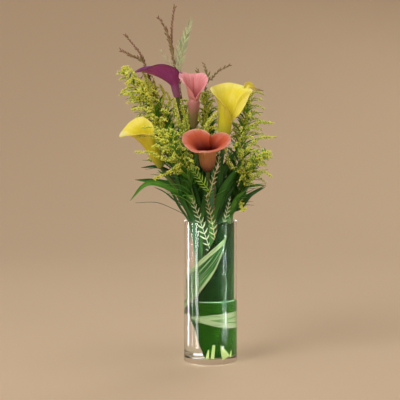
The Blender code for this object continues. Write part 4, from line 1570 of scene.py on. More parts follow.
@dataclass
class Foliage:
    """The mass of long leaves that fills the bouquet above the rim and the vase's neck.

    Each long leaf has its points from the rim up and its width, in millimetres, and its tone.
    """

    leaves: dict[Paint, tuple[tuple[Points, float, float], ...]]
    neck: float = 0.0365
    open_left: float = -0.026
    fillers: int = 64
    thickness: float = 0.0005
    seed: int = 5

    def route(self, points: Points) -> Array:
        """A leaf's midrib: it starts low in the vase, or at its neck where the vase is left open.

        Args:
            points: The leaf's points, in millimetres, from the rim up.

        Returns:
            The midrib.
        """
        path = millimetres(points)
        reach = np.linalg.norm(path[0, :2])
        if reach > self.neck:
            path[0, :2] *= self.neck / reach
        if path[0, 0] > self.open_left:
            low = [path[0] * (0.8, 0.8, 0) + (0, 0, 0.118), path[0] * (0.93, 0.93, 0) + (0, 0, 0.18)]
        else:
            low = [path[0] * (0.95, 0.95, 0) + (0, 0, 0.205)]
        return smooth_path(np.vstack([*low, path]), 44)

    def fill(self, room: Room) -> dict[Paint, list[Sheet]]:
        """Draws leaves all round the bouquet's foot, which hide the stems.

        Args:
            room: What the leaves keep clear of.

        Returns:
            For each finish, its leaves' sheets.
        """
        rng = np.random.default_rng(self.seed)
        drawn: dict[Paint, list[Sheet]] = {paint: [] for paint in self.leaves}
        kinds = (Paint.DEEP, Paint.DEEP, Paint.FRESH, Paint.DEEP, Paint.BLUE)
        count = 0
        for _ in range(8 * self.fillers):
            turn, reach = rng.uniform(-math.pi, math.pi), rng.uniform(0.010, 0.033)
            height, spread = rng.uniform(0.035, 0.135), rng.uniform(0.08, 0.55)
            half, tone, bend = rng.uniform(0.0035, 0.0060), rng.uniform(0, 1), rng.uniform(-0.2, 0.2)
            base = np.array([reach * math.cos(turn), reach * math.sin(turn), 0.234])
            way = np.array([math.cos(turn + bend), math.sin(turn + bend), 0.0])
            drift = np.array([-0.16, 0.06, 0.0]) * height
            middle = base + way * height * spread * 0.35 + drift * 0.4 + (0, 0, height * 0.55)
            tip = base + way * height * spread + drift + (0, 0, height)
            low = base * (0.9, 0.9, 0) + (0, 0, 0.19)
            route = smooth_path(np.array([low, base, middle, tip]), 24)
            ahead = (route[:, 1] < -0.036) & (np.abs(route[:, 0] + 0.005) < 0.040)
            if count < self.fillers and not ahead.any() and room.clear(route, 0.0035 + half * 0.6):
                leaf = lance_leaf(route, half, unit(way + (0, 0, 0.2)), widest=0.6, tone=tone, columns=5)
                drawn[kinds[count % len(kinds)]].append(leaf)
                count += 1
        return drawn

    def build(self, room: Room) -> None:
        """Builds the leaves, as one piece for each finish.

        Args:
            room: What the filling leaves keep clear of.
        """
        for paint, sheets in self.fill(room).items():
            for points, width, tone in self.leaves[paint]:
                route = self.route(points)
                out = unit(route[len(route) // 2] * (1, 1, 0) + (0, -0.02, 0))
                sheets.append(lance_leaf(route, width * MM / 2, out, widest=0.6, tone=tone))
            name = f"long_leaves_{paint.name.lower()}"
            settle(leaves_piece(name, sheets, self.thickness, paint.value), "green_leaf")


# ---- Goldenrod ----

HEADS: dict[str, Form] = {}


@dataclass
class Goldenrod:
    """One goldenrod: its leafy stem, then a plume of arching sprays covered with small heads.

    The long sprays are placed one by one. The short ones turn round the plume's axis, and each is
    tried at smaller sizes where a flower is in its way.
    """

    name: str
    rim: tuple[float, float]
    above: Points
    plume: Points
    racemes: int
    length: float
    first: float
    bloom: float
    seed: int
    long_sprays: tuple[Points, ...]
    leaves: int = 10
    leaf_length: float = 0.062
    leaf_thickness: float = 0.0004
    radius: float = 0.0016
    neck: float = 0.0011
    axis_tip: float = 0.0004
    spray_radius: float = 0.0006
    long_radius: float = 0.0007
    spray_tip: float = 0.0003
    head: float = 0.0031
    spacing: float = 0.00072

    def stem_line(self) -> Array:
        """The middle line of the stem up to the plume."""
        return stem_path(self.rim, self.above, 30)

    def spray(self, axis: Array, share: float, turn: float, length: float, droop: float) -> Array:
        """An arching side branch: it leaves the axis upwards and droops at its tip.

        Args:
            axis: The plume's axis.
            share: How far up the axis it leaves.
            turn: The way that it points, round the axis.
            length: Its length.
            droop: How far its tip hangs.

        Returns:
            Its middle line.
        """
        start, direction = part_way(axis, share)
        side = square_to(direction, np.array([1.0, 0.2, 0.0]))
        out = unit((side * math.cos(turn) + np.cross(direction, side) * math.sin(turn)) * (1, 1, 0.3))
        way = unit(out + 0.9 * direction)
        middle = start + way * length * 0.55
        tip = middle + unit(out + np.array([0, 0, -droop])) * length * 0.5
        return smooth_path(np.array([start, middle, tip]), 14, way)

    def heads(self, path: Array, size: float, rng: Scatter) -> list[Form]:
        """The small heads along one spray, most of them on its upper side.

        Args:
            path: The spray's middle line.
            size: How large the heads are.
            rng: Where the scatter comes from.

        Returns:
            The heads.
        """
        length = np.linalg.norm(np.diff(path, axis=0), axis=1).sum()
        count = max(6, int(length / self.spacing))
        share = np.sort(rng.uniform(0.12, 1.0, count))
        index, marks = share * (len(path) - 1), np.arange(len(path))
        centre, way = read_at(path, marks, index), unit(read_at(tangents(path), marks, index))
        up = square_to(way, UP)
        out = turned(up, np.cross(way, up), rng.normal(0, 1.25, count))
        point = unit(out + way * rng.uniform(0.3, 0.9, count)[:, None])
        axes = upright_axes(point, way)
        scale = size * rng.uniform(0.75, 1.25, count) * (1.05 - 0.45 * share)
        origins = centre + point * (scale * rng.uniform(0.1, 0.95, count))[:, None]
        blooms = np.clip(self.bloom + rng.normal(0, 0.22, count), 0, 1)
        tones = np.column_stack([blooms, rng.uniform(0, 1, count)])
        opened = rng.uniform(0, 1, count) < self.bloom * 0.75
        return [
            HEADS[kind].spread(origins[chosen], axes[chosen], scale[chosen], tones[chosen])
            for chosen, kind in ((opened, "open"), (~opened, "bud"))
            if chosen.any()
        ]

    def build(self, room: Room) -> None:
        """Builds the stem, its leaves and the plume.

        Args:
            room: What the short sprays and the leaves keep clear of.
        """
        rng = np.random.default_rng(self.seed)
        stem, axis = self.stem_line(), smooth_path(millimetres([self.above[-1], *self.plume]), 50)
        stalk = tapered(stem, self.radius, self.neck, sides=10)
        settle(solid_piece(f"{self.name}_stalk", [stalk], GOLDENROD_STEM), "green_stem", f"{self.name}_stem")
        twigs = [tapered(axis, self.neck, self.axis_tip, sides=7)]
        heads: list[Form] = []
        count = self.racemes * 3
        for index in range(count):
            share = 0.02 + 0.96 * index / (count - 1)
            turn = math.radians(self.first) + index * GOLDEN_ANGLE + rng.uniform(-0.3, 0.3)
            for shrink in (1.0, 0.7, 0.45):
                length = self.length * (1.08 - 0.6 * share) * shrink * rng.uniform(0.75, 1.15)
                path = self.spray(axis, share, turn, length, rng.uniform(0.0, 0.5))
                if room.clear(path[3:], 0.0045):
                    twigs.append(tapered(path, self.spray_radius, self.spray_tip, sides=4))
                    heads += self.heads(path, self.head, rng)
                    break
        for points in self.long_sprays:
            path = millimetres(points)
            above = np.maximum(0, axis[:, 2] - path[0, 2] + 0.008)
            node = axis[int(np.argmin(np.linalg.norm(axis - path[0], axis=1) + 0.5 * above))]
            path = smooth_path(np.vstack([node, path]), 26)
            twigs.append(tapered(path, self.long_radius, self.spray_tip, sides=4))
            heads += self.heads(path, 0.0034, rng) + self.heads(path, 0.0030, rng)
        heads += self.heads(smooth_path(axis[-12:], 8), self.head, rng)
        for twig in twigs:
            twig.place[:, :2] = 0.0
        plume = solid_piece(f"{self.name}_flowers", [*twigs, *heads], FLORETS)
        settle(plume, "goldenrod_flowers", f"{self.name}_plume")
        self.build_leaves(np.vstack([stem[stem[:, 2] > VASE_HEIGHT - 0.004], axis[1:]]), room, rng)

    def build_leaves(self, whole: Array, room: Room, rng: Scatter) -> None:
        """The small lance leaves up the stem and among the sprays.

        Args:
            whole: The middle line from the rim of the vase to the plume's tip.
            room: What the leaves keep clear of.
            rng: Where the scatter comes from.
        """
        count = self.leaves * 6
        sheets = []
        for index in range(count):
            share = (index + 0.5) / count
            start, direction = part_way(whole, share)
            turn = index * GOLDEN_ANGLE + rng.uniform(-0.4, 0.4)
            side = square_to(direction, RIGHT)
            out = side * math.cos(turn) + np.cross(direction, side) * math.sin(turn)
            for shrink in (1.0, 0.6):
                length = self.leaf_length * (1.15 - 0.9 * share) * rng.uniform(0.7, 1.2) * shrink
                way = unit(direction * (1.5 - 0.9 * share) + out)
                middle = start + way * length * 0.5
                tip = middle + unit(way + out * 0.5 - np.array([0, 0, 0.2])) * length * 0.5
                route = smooth_path(np.array([start + out * 0.0008, middle, tip]), 14)
                ahead = (route[:, 1] < -0.05) & (np.abs(route[:, 0]) < 0.03)
                if not ahead.any() and room.clear(route[2:], 0.003):
                    face = unit(square_to(way, UP) - out * 0.4)
                    half, tone = length * 0.085, rng.uniform(0, 1)
                    leaf = lance_leaf(route, half, face, 0.4, fold=0.2, wave=0.05, tone=tone, columns=3)
                    sheets.append(leaf)
                    break
        leaves = leaves_piece(f"{self.name}_leaves", sheets, self.leaf_thickness, Paint.FRESH.value)
        settle(leaves, "green_leaf")


# ---- Sprigs ----


@dataclass
class Sprig:
    """A woody sprig with its own foot in the vase, twigs that leave it, and scales along its upper part."""

    name: str
    rim: tuple[float, float]
    above: Points
    twigs: tuple[Points, ...] = ()
    scaled: float = 0.45
    scale_length: float = 0.0098
    step: float = 0.0027
    seed: int = 1
    radius: float = 0.0013
    tip: float = 0.0005
    twig_radius: float = 0.0008
    twig_tip: float = 0.0004
    finish: TwigFinish = BROWN_TWIG

    def build(self) -> None:
        """Builds the sprig as one piece."""
        rng = np.random.default_rng(self.seed)
        stem = stem_path(self.rim, self.above, 60)
        twigs = [smooth_path(millimetres(twig), 24) for twig in self.twigs]
        forms = [tapered(stem, self.radius, self.tip, sides=8, tone=0.1)]
        forms += [tapered(twig, self.twig_radius, self.twig_tip, sides=6, tone=0.9) for twig in twigs]
        forms.append(self.scales(stem, self.scaled, rng))
        forms += [self.scales(twig, 0.1, rng) for twig in twigs]
        settle(solid_piece(f"{self.name}_piece", forms, self.finish), "woody_sprig", self.name)

    def scales(self, route: Array, first: float, rng: Scatter) -> Form:
        """The small pointed scales along a twig, close to it.

        Args:
            route: The twig's middle line.
            first: The share of its length at which they start.
            rng: Where the scatter comes from.

        Returns:
            The scales.
        """
        marks = distances(route)
        places = np.arange(marks[-1] * first, marks[-1], self.step)
        count = len(places)
        places = places + rng.uniform(-0.3, 0.3, count) * self.step
        centre, way = read_at(route, marks, places), unit(read_at(tangents(route), marks, places))
        side = square_to(way, RIGHT)
        out = turned(side, np.cross(way, side), np.arange(count) * math.pi + rng.uniform(-0.6, 0.6, count))
        point = unit(way + out * rng.uniform(0.25, 0.65, count)[:, None])
        share = places / marks[-1]
        size = self.scale_length * rng.uniform(0.7, 1.2, count) * (1.1 - 0.5 * share)
        sizes = np.column_stack([size * 0.55, size * 0.55, size])
        tones = np.column_stack([np.zeros(count), share])
        return HEADS["bud"].spread(centre, upright_axes(point, way + 0.01), sizes, tones)


# ---- What stands in the vase ----

EVEN_TURN = (-180, -135, -90, -45, 0, 45, 90, 135, 180)
PALE_TIP = (0.80, 0.76, 0.36)

# The near-black stops low in the throat are painted shade down in the tube; the redder stops nearer the lip
# are the inside's own colour.
CORAL_INSIDE = PetalFinish(
    "coral_inside_finish",
    stops=(
        (0.0, (0.05, 0.002, 0.004)), (0.52, (0.10, 0.005, 0.006)), (0.72, (0.40, 0.060, 0.022)),
        (0.88, (0.58, 0.115, 0.045)), (0.96, (0.56, 0.17, 0.10)), (1.0, (0.68, 0.31, 0.20)),
    ),
    vein=(0.42, 0.04, 0.02), vein_share=0.4,
)
# The pale stops at the lip and the cream ridge up the middle of the tube are partly the flower's own paler
# edge and streak, partly a painted highlight.
CORAL_OUTSIDE = PetalFinish(
    "coral_outside_finish",
    stops=(
        (0.0, (0.07, 0.040, 0.020)), (0.12, (0.16, 0.055, 0.030)), (0.36, (0.46, 0.21, 0.085)),
        (0.70, (0.66, 0.28, 0.12)), (0.95, (0.82, 0.36, 0.21)), (1.0, (0.72, 0.34, 0.23)),
    ),
    vein=(0.24, 0.06, 0.03), vein_share=0.5, ridge_share=1.0,
)
PINK_INSIDE = PetalFinish(
    "pink_inside_finish",
    stops=(
        (0.0, (0.35, 0.08, 0.05)), (0.5, (0.44, 0.11, 0.10)), (0.85, (0.66, 0.23, 0.23)),
        (1.0, (0.84, 0.36, 0.38)),
    ),
    vein=(0.48, 0.06, 0.07), vein_share=0.4, tip_reach=0.32,
)
PINK_OUTSIDE = PetalFinish(
    "pink_outside_finish",
    stops=(
        (0.0, (0.13, 0.13, 0.03)), (0.12, (0.20, 0.15, 0.06)), (0.28, (0.36, 0.14, 0.12)),
        (0.55, (0.58, 0.23, 0.21)), (0.8, (0.80, 0.30, 0.30)), (1.0, (0.88, 0.36, 0.38)),
    ),
    vein=(0.42, 0.08, 0.10), vein_share=0.35, blush=(0.66, 0.32, 0.34), blush_share=0.2, tip_reach=0.32,
)
YELLOW_INSIDE = PetalFinish(
    "yellow_inside_finish",
    stops=(
        (0.0, (0.54, 0.46, 0.01)), (0.5, (0.72, 0.61, 0.015)), (0.85, (0.80, 0.70, 0.040)),
        (1.0, (0.84, 0.76, 0.16)),
    ),
    vein=(0.64, 0.50, 0.01), vein_share=0.35, blush=(0.88, 0.78, 0.14), blush_share=0.3,
)
YELLOW_OUTSIDE = PetalFinish(
    "yellow_outside_finish",
    stops=(
        (0.0, (0.30, 0.36, 0.04)), (0.2, (0.52, 0.51, 0.035)), (0.55, (0.72, 0.65, 0.030)),
        (1.0, (0.84, 0.75, 0.10)),
    ),
    vein=(0.54, 0.46, 0.012), vein_share=0.35,
)
PURPLE_INSIDE = PetalFinish(
    "purple_inside_finish",
    stops=(
        (0.0, (0.05, 0.004, 0.03)), (0.5, (0.13, 0.010, 0.09)), (0.85, (0.26, 0.035, 0.22)),
        (1.0, (0.12, 0.012, 0.10)),
    ),
    vein=(0.10, 0.008, 0.05), vein_share=0.4,
)
PURPLE_OUTSIDE = PetalFinish(
    "purple_outside_finish",
    stops=(
        (0.0, (0.26, 0.14, 0.15)), (0.2, (0.38, 0.15, 0.32)), (0.45, (0.42, 0.085, 0.40)),
        (0.9, (0.46, 0.080, 0.44)), (1.0, (0.20, 0.020, 0.17)),
    ),
    vein=(0.19, 0.022, 0.17), vein_share=0.45, blush=(0.58, 0.130, 0.50), blush_share=0.4,
)
DRY_PETAL = PetalFinish(
    "dry_tip_finish",
    stops=(
        (0.0, (0.84, 0.77, 0.18)), (0.5, (0.80, 0.70, 0.08)), (0.72, (0.50, 0.38, 0.12)),
        (1.0, (0.25, 0.17, 0.08)),
    ),
    vein=(0.40, 0.30, 0.08),
)

CALLAS = (
    Calla(
        name="coral_calla", rim=(-3, -23), above=((-4, -36, 282), (-5.5, -50, 325.5)),
        axis=(-0.03, -0.36, 0.93), tip_way=(-0.25, -1, 0), reach=(15, 36, 40, 34, 28, 34, 38, 34, 15),
        rise=(57, 62, 55, 45, 42, 46, 53, 57, 56), lean=(60, 35, 10, 0, -10, 0, 10, 35, 60),
        tube_radius=0.0138, belly=0.25, throat=0.42, turn=(-188, -130, -84, -40, 0, 52, 102, 138, 172),
        inside=CORAL_INSIDE, outside=CORAL_OUTSIDE, slot="coral_spathe",
    ),
    Calla(
        name="pink_calla", rim=(-12, -7), above=((-21, -11, 320), (-28.6, -14, 397)), axis=(0.02, -0.05, 1),
        tip_way=(-0.3, 1, 0), reach=(6, 15, 23.5, 26, 22, 26, 23.5, 15, 6),
        rise=(46, 62, 78, 90, 87, 90, 78, 62, 46), lean=(85, 60, 40, 50, 60, 50, 40, 60, 85),
        tube_radius=0.0098, throat=0.45, turn=EVEN_TURN, inside=PINK_INSIDE, outside=PINK_OUTSIDE,
        slot="pink_spathe", belly=0.8, pinch=0.2,
        creases=((0.0, -0.5, 0.03), (-0.08, 1.6, 0.035), (0.20, 1.3, 0.04)), tip_u=0.25,
    ),
    Calla(
        name="yellow_right_calla", rim=(8, -5), above=((15, -5, 310), (22, -4, 372)),
        axis=(0.06, -0.05, 0.98), tip_way=(-0.9, 0.42, 0), reach=(12, 24, 32, 38, 42, 24, 26, 27, 11),
        rise=(35, 49, 64, 81, 90, 99, 91, 79, 29), lean=(80, 60, 55, 40, 0, 55, 50, 45, 80),
        tube_radius=0.0108, throat=0.3, turn=(-180, -170, -160, -152, -140, -75, 0, 62, 180),
        inside=YELLOW_INSIDE, outside=YELLOW_OUTSIDE, slot="yellow_spathe", ruffle=0.0003,
    ),
    Calla(
        name="purple_calla", rim=(-13, 8), above=((-33, 12, 350), (-57, 14, 448)), axis=(-0.2, -0.1, 0.97),
        tip_way=(-0.9, -0.4, 0), reach=(7, 11, 23, 46, 63, 46, 23, 11, 7),
        rise=(24, 31, 46, 60, 54, 60, 46, 31, 24), lean=(80, 60, 30, 5, 10, 5, 30, 60, 80),
        tube_radius=0.0062, throat=0.3, turn=EVEN_TURN, inside=PURPLE_INSIDE, outside=PURPLE_OUTSIDE,
        slot="purple_spathe",
    ),
    Calla(
        name="yellow_left_calla", rim=(-29, -13), above=((-48, -20, 285), (-83.5, -32, 332)),
        axis=(-0.4, -0.3, 0.866), tip_way=(-1, 0.1, 0), reach=(12, 20, 23, 30, 40, 31, 23, 20, 12),
        rise=(50, 69, 83, 83, 74, 76, 71, 60, 50), lean=(70, 55, 35, 15, 0, 15, 35, 55, 70),
        tube_radius=0.0095, throat=0.3, turn=EVEN_TURN,
        inside=replace(YELLOW_INSIDE, name="yellow_left_inside_finish", tip=PALE_TIP, tip_reach=0.8),
        outside=replace(YELLOW_OUTSIDE, name="yellow_left_outside_finish", tip=PALE_TIP, tip_reach=0.8),
        slot="yellow_spathe", ruffle=0.0004,
    ),
)

DRY_TIP = DryTip(
    "yellow_right_calla_dry_tip",
    points=((57, 7, 454), (61, 6, 465), (66.5, 7, 465.5), (75, 8, 459), (89, 8, 456.5)), width=9.5,
    face=(0.2, -1, 0.3), slot="yellow_spathe",
    finish=DRY_PETAL,
)

GOLDENRODS = (
    Goldenrod(
        "goldenrod_1", rim=(-31, 3), above=((-44, 5, 285), (-64, 7, 330)),
        plume=((-98, 9, 425), (-149, 4, 490)), racemes=12, length=0.040, first=200, bloom=0.85, seed=11,
        long_sprays=(
            ((-114, 2, 458), (-124, 2, 476), (-135, 2, 490), (-147, 2, 492)),
            ((-108, -4, 457), (-118, -4, 471), (-132, -4, 474), (-142, -4, 467)),
            ((-103, -6, 442), (-113, -6, 451), (-130, -6, 453), (-144, -6, 449)),
            ((-97, 6, 428), (-109, 6, 438), (-120, 6, 444), (-127, 6, 439)),
            ((-95, -8, 411), (-105, -8, 421), (-120, -8, 426), (-132, -8, 423)),
            ((-105, 8, 458), (-109, 8, 475), (-113, 8, 487)),
            ((-100, 4, 446), (-100, 4, 463), (-105, 4, 473)),
        ),
    ),
    Goldenrod(
        "goldenrod_2", rim=(-26, 15), above=((-42, 24, 290), (-62, 32, 330)),
        plume=((-95, 38, 400), (-139, 40, 457)), racemes=12, length=0.040, first=160, bloom=0.75, seed=12,
        long_sprays=(
            ((-94, 26, 440), (-93, 26, 459), (-98, 26, 476)),
            ((-84, 22, 430), (-79, 22, 448), (-86, 22, 467)),
            ((-76, 20, 415), (-70, 20, 438), (-74, 20, 453)),
            ((-86, 18, 401), (-99, 18, 413), (-114, 18, 411)),
        ),
    ),
    Goldenrod(
        "goldenrod_3", rim=(-17, 23), above=((-32, 32, 290), (-50, 38, 340)),
        plume=((-78, 37, 410), (-113, 31, 474)), racemes=11, length=0.036, first=240, bloom=0.7, seed=13,
        long_sprays=(
            ((-69, 18, 396), (-59, 18, 418), (-64, 18, 436)),
            ((-72, 10, 370), (-77, 10, 394), (-89, 10, 408)),
            ((-79, 8, 391), (-89, 8, 404), (-100, 8, 401)),
        ),
    ),
    Goldenrod(
        "goldenrod_4", rim=(-4, 17), above=((-12, 22, 290), (-22, 27, 335)),
        plume=((-31, 32, 390), (-38, 34, 438)), racemes=10, length=0.034, first=150, bloom=0.6, seed=14,
        long_sprays=(
            ((-47, 12, 374), (-53, 12, 404), (-65, 12, 424)),
            ((-45, 14, 384), (-45, 14, 411), (-52, 14, 427)),
            ((-48, 6, 357), (-62, 6, 384), (-72, 6, 394)),
            ((-45, 10, 364), (-38, 10, 391), (-43, 10, 411)),
            ((-38, 8, 385), (-41, 2, 404), (-46, 0, 421), (-50, 2, 440)),
            ((-40, 8, 380), (-45, 2, 397), (-38, 2, 416), (-34, 4, 434)),
            ((-44, 10, 385), (-55, 3, 404), (-58, 3, 424), (-62, 4, 443)),
        ),
    ),
    Goldenrod(
        "goldenrod_5", rim=(6, 10), above=((2, 15, 290), (-2, 19, 335)),
        plume=((-4, 22, 400), (-8, 20, 452)), racemes=10, length=0.034, first=260, bloom=0.55, seed=15,
        long_sprays=(
            ((-11, 10, 404), (-11, 10, 428), (-14, 10, 450)),
            ((-8, 6, 409), (-3, 6, 426), (1, 6, 438)),
            ((-8, -14, 394), (2, -14, 410), (11, -14, 419)),
            ((-11, -10, 384), (2, -10, 394), (14, -10, 387)),
            ((-13, 10, 398), (-20, 10, 411), (-21, 10, 428)),
        ),
    ),
    Goldenrod(
        "goldenrod_6", rim=(24, 12), above=((36, 16, 285), (46, 18, 325)),
        plume=((56, 18, 390), (66, 14, 450)), racemes=13, length=0.052, first=-20, bloom=0.45, seed=16,
        long_sprays=(
            ((58, 8, 389), (76, 8, 400), (92, 8, 403), (105, 8, 401)),
            ((56, 4, 347), (71, 4, 367), (86, 4, 377), (109, 4, 378)),
            ((60, 10, 401), (66, 10, 413), (73, 10, 408)),
            ((53, 2, 377), (61, 2, 391), (76, 2, 394)),
            ((50, 16, 357), (43, 16, 381), (38, 16, 404)),
            ((60, 12, 411), (58, 12, 428), (60, 12, 441)),
        ),
    ),
    Goldenrod(
        "goldenrod_7", rim=(32, -3), above=((42, -8, 268), (52, -12, 292)),
        plume=((70, -16, 330), (92, -18, 352)), racemes=9, length=0.036, first=-60, bloom=0.4, seed=17,
        long_sprays=(
            ((65, -20, 322), (78, -20, 344), (85, -20, 347), (94, -20, 344)),
            ((60, -24, 301), (77, -24, 315), (88, -24, 321), (100, -24, 313)),
            ((61, -12, 332), (69, -12, 346), (79, -12, 357)),
            ((54, -20, 321), (50, -20, 341), (45, -20, 357)),
            ((44, -28, 322), (30, -36, 334), (24, -38, 356), (30, -36, 373)),
            ((50, -20, 270), (52, -27, 256), (60, -30, 262)),
        ),
        leaf_length=0.040,
    ),
    Goldenrod(
        "goldenrod_8", rim=(-19, -24), above=((-28, -38, 280), (-38, -52, 315)),
        plume=((-54, -62, 355), (-72, -60, 388)), racemes=10, length=0.032, first=180, bloom=0.6, seed=18,
        long_sprays=(
            ((-76, -66, 371), (-99, -66, 380), (-120, -66, 378)),
            ((-73, -64, 380), (-91, -64, 393), (-112, -64, 393)),
            ((-74, -68, 356), (-86, -68, 364), (-94, -68, 361)),
            ((-75, -62, 342), (-99, -62, 353), (-122, -62, 354)),
            ((-54, -58, 328), (-55, -58, 345), (-49, -58, 353)),
            ((-62, -52, 322), (-80, -52, 315), (-93, -52, 310)),
            ((-73, -64, 364), (-81, -64, 380), (-94, -64, 388)),
        ),
    ),
)

SPRIGS = (
    Sprig(
        "top_brown_sprig", rim=(-9, 27),
        above=(
            (-28, 35, 340), (-50, 28, 433), (-58, 29, 486), (-65, 30, 520), (-66, 27, 560), (-61, 22, 598),
        ),
        twigs=(((-62.5, 30, 508), (-69, 22, 541), (-78, 16, 565), (-88, 10, 580)),), seed=21,
    ),
    Sprig(
        "left_brown_sprig", rim=(-24, 7),
        above=((-58, 19, 340), (-88, 23, 430), (-112, 22, 505), (-126, 19, 529), (-145, 16, 551)),
        twigs=(((-110, 22, 500), (-121, 18, 511), (-133, 14, 516), (-152, 12, 525)),), seed=22,
    ),
    Sprig(
        "right_green_sprig", rim=(3, 22),
        above=((-3, 30, 340), (-9, 28, 458), (3, 26, 479), (15, 24, 491), (31, 22, 500)),
        twigs=(
            ((-4, 27, 470), (-5, 28, 482), (-8, 30, 494), (-11, 32, 504)),
            ((-8, 28, 462), (-14, 27, 474), (-20, 26, 486), (-22, 26, 494)),
            ((3, -24, 236), (3.5, -42, 267), (3.5, -52, 287), (4.5, -56, 317)),
        ),
        scaled=0.80, scale_length=0.0100, step=0.0034, seed=23, finish=GREEN_TWIG,
    ),
    Sprig(
        "silver_stalk", rim=(-1, 33), above=((-20, 42, 340), (-46, 42, 433), (-54, 38, 478)), scaled=0.98,
        seed=24,
    ),
)

FRONDS = (
    Frond(
        "silver_frond", points=((-54, 38, 478), (-53, 34, 500), (-46, 31, 536), (-33, 28, 577)), tooth=15,
        step=5.6, face=(0.1, -1, 0), paint=Paint.SAGE, slot="silver_frond", rib=0.8, slant=36, seed=31,
    ),
    Frond(
        "silver_frond_small", points=((-58, 29, 488), (-56, 26, 516), (-54, 25, 541)), tooth=8.5, step=6.8,
        paint=Paint.SAGE, slot="silver_frond", rib=0.4, slant=42, seed=32,
    ),
    Frond(
        "pale_frond_left", points=((-58, 29, 486), (-70, 25, 505), (-85, 20, 527)), tooth=7.5, step=6.8,
        paint=Paint.SAGE, slot="silver_frond", rib=0.4, slant=42, seed=33,
    ),
    Frond(
        "rim_silver_frond",
        points=((-15.4, -37, 235), (-20.7, -42, 249.5), (-26.9, -48, 265.8), (-32.3, -54, 282)), tooth=11.5,
        step=10.5, paint=Paint.SILVER, slot="silver_frond", rib=0.8, slant=54, lowest=180,
        below=((8, -20, 16), (12, -31, 110), (3, -34, 172), (-2.2, -34, 195), (-8.8, -35, 215)),
        tooth_width=0.20, seed=34,
    ),
    Frond(
        "rim_tan_frond", points=((2.2, -39, 237.6), (-2.8, -47, 261), (-7.6, -55, 283)), tooth=10, step=9.6,
        paint=Paint.TAN, slot="tan_frond", rib=0.8, slant=52, lowest=190,
        below=((18, -16, 16), (20, -28, 110), (13, -34, 180), (8.6, -36, 204), (5.2, -37, 220)),
        tooth_width=0.19, seed=35,
    ),
    Frond(
        "rim_pale_frond", points=((23.8, -33, 244), (28.3, -38, 263.5), (32, -42, 281)), tooth=7.5,
        step=8.6, paint=Paint.SILVER, slot="silver_frond", rib=0.7, slant=50, lowest=214,
        below=((26, -8, 16), (24, -22, 110), (18, -30, 205), (18.6, -31, 228)), tooth_width=0.18, seed=36,
    ),
    Frond(
        "tan_sprig",
        points=(
            (-7.5, -55, 283), (-0.8, -58, 291), (3.6, -60, 309), (9.7, -60, 330), (13, -58, 345),
            (13, -56, 359),
        ),
        tooth=8.5, step=9.4, paint=Paint.TAN, slot="tan_frond", rib=0.6, tooth_width=0.18, seed=37,
    ),
    Frond(
        "needle_sprig",
        points=((-3, -50, 280), (-3, -59, 291), (-13, -63, 304), (-23.6, -64, 318), (-34.3, -64, 332)),
        tooth=11, step=6.6, paint=Paint.NEEDLE, slot="green_leaf", rib=0.7, slant=58, seed=38,
    ),
)

BLADES = (
    Blade(
        "left_leaf_1", carrier="goldenrod_1", level=316,
        points=((-72, -6, 323), (-92, -12, 329), (-116, -16, 328)), width=8, face=(0, -0.8, 1), tone=0.2,
    ),
    Blade(
        "left_leaf_2", carrier="goldenrod_1", level=248,
        points=((-47, -8, 278), (-66, -14, 297), (-95, -18, 305), (-126, -22, 308)), width=14,
        face=(0, -1, 0.3), widest=0.35, tone=0.7,
    ),
    Blade(
        "left_leaf_3", carrier="yellow_left_calla", level=262,
        points=((-62, -34, 290), (-92, -36, 303), (-112, -36, 298), (-133, -36, 274)), width=9,
        face=(0.2, -1, 0.2), paint=Paint.FRESH, tone=0.6,
    ),
    Blade(
        "left_leaf_4", carrier="goldenrod_2", level=252,
        points=((-58, 14, 268), (-78, 10, 285), (-95, 8, 294)), width=9, face=(0.5, 0.3, 1),
        paint=Paint.BLUE, tone=0.6,
    ),
    Blade(
        "left_grass_leaf", carrier="yellow_left_calla", level=243,
        points=((-60, -20, 258), (-90, -26, 270), (-125, -30, 270)), width=3, face=(0, 0, 1), tone=0.4,
    ),
    Blade(
        "centre_leaf_1", carrier="goldenrod_8", level=256,
        points=((-36, -34, 282), (-46, -38, 318), (-51, -38, 350)), width=14, face=(0.2, -1, 0),
        paint=Paint.FRESH, tone=0.3,
    ),
    Blade(
        "centre_leaf_2", carrier="goldenrod_8", level=248,
        points=((-13, -28, 272), (-18, -32, 302), (-27, -37, 335)), width=12, face=(0, -1, 0), tone=0.6,
    ),
    Blade(
        "centre_leaf_3", carrier="coral_calla", level=262,
        points=((5, -38, 285), (4, -41, 305), (5, -43, 328)), width=7, face=(0, -1, 0), paint=Paint.BLUE,
        tone=0.8,
    ),
    Blade(
        "broad_dark_leaf", carrier="goldenrod_7", level=256,
        points=((26, -22, 285), (34, -24, 310), (42, -24, 336)), width=14, face=(0, -1, 0), tone=0.5,
    ),
    Blade(
        "right_leaf_1", carrier="goldenrod_7", level=276,
        points=((56, -22, 292), (74, -26, 298), (92, -28, 298)), width=8, face=(0, -0.4, 1), tone=0.8,
    ),
    Blade(
        "right_leaf_2", carrier="goldenrod_7", level=252,
        points=((50, -14, 262), (66, -20, 282), (90, -26, 296)), width=8, face=(0, -1, 0.4), tone=0.3,
    ),
    Blade(
        "right_leaf_3", carrier="goldenrod_6", level=262, points=((46, 8, 275), (56, 4, 290), (64, 2, 312)),
        width=12, face=(0, -1, 0.2), tone=0.2,
    ),
    Blade(
        "right_leaf_4", carrier="goldenrod_6", level=312,
        points=((56, 10, 330), (68, 6, 337), (82, 4, 328)), width=8, face=(0, -0.4, 1), tone=0.3,
    ),
)

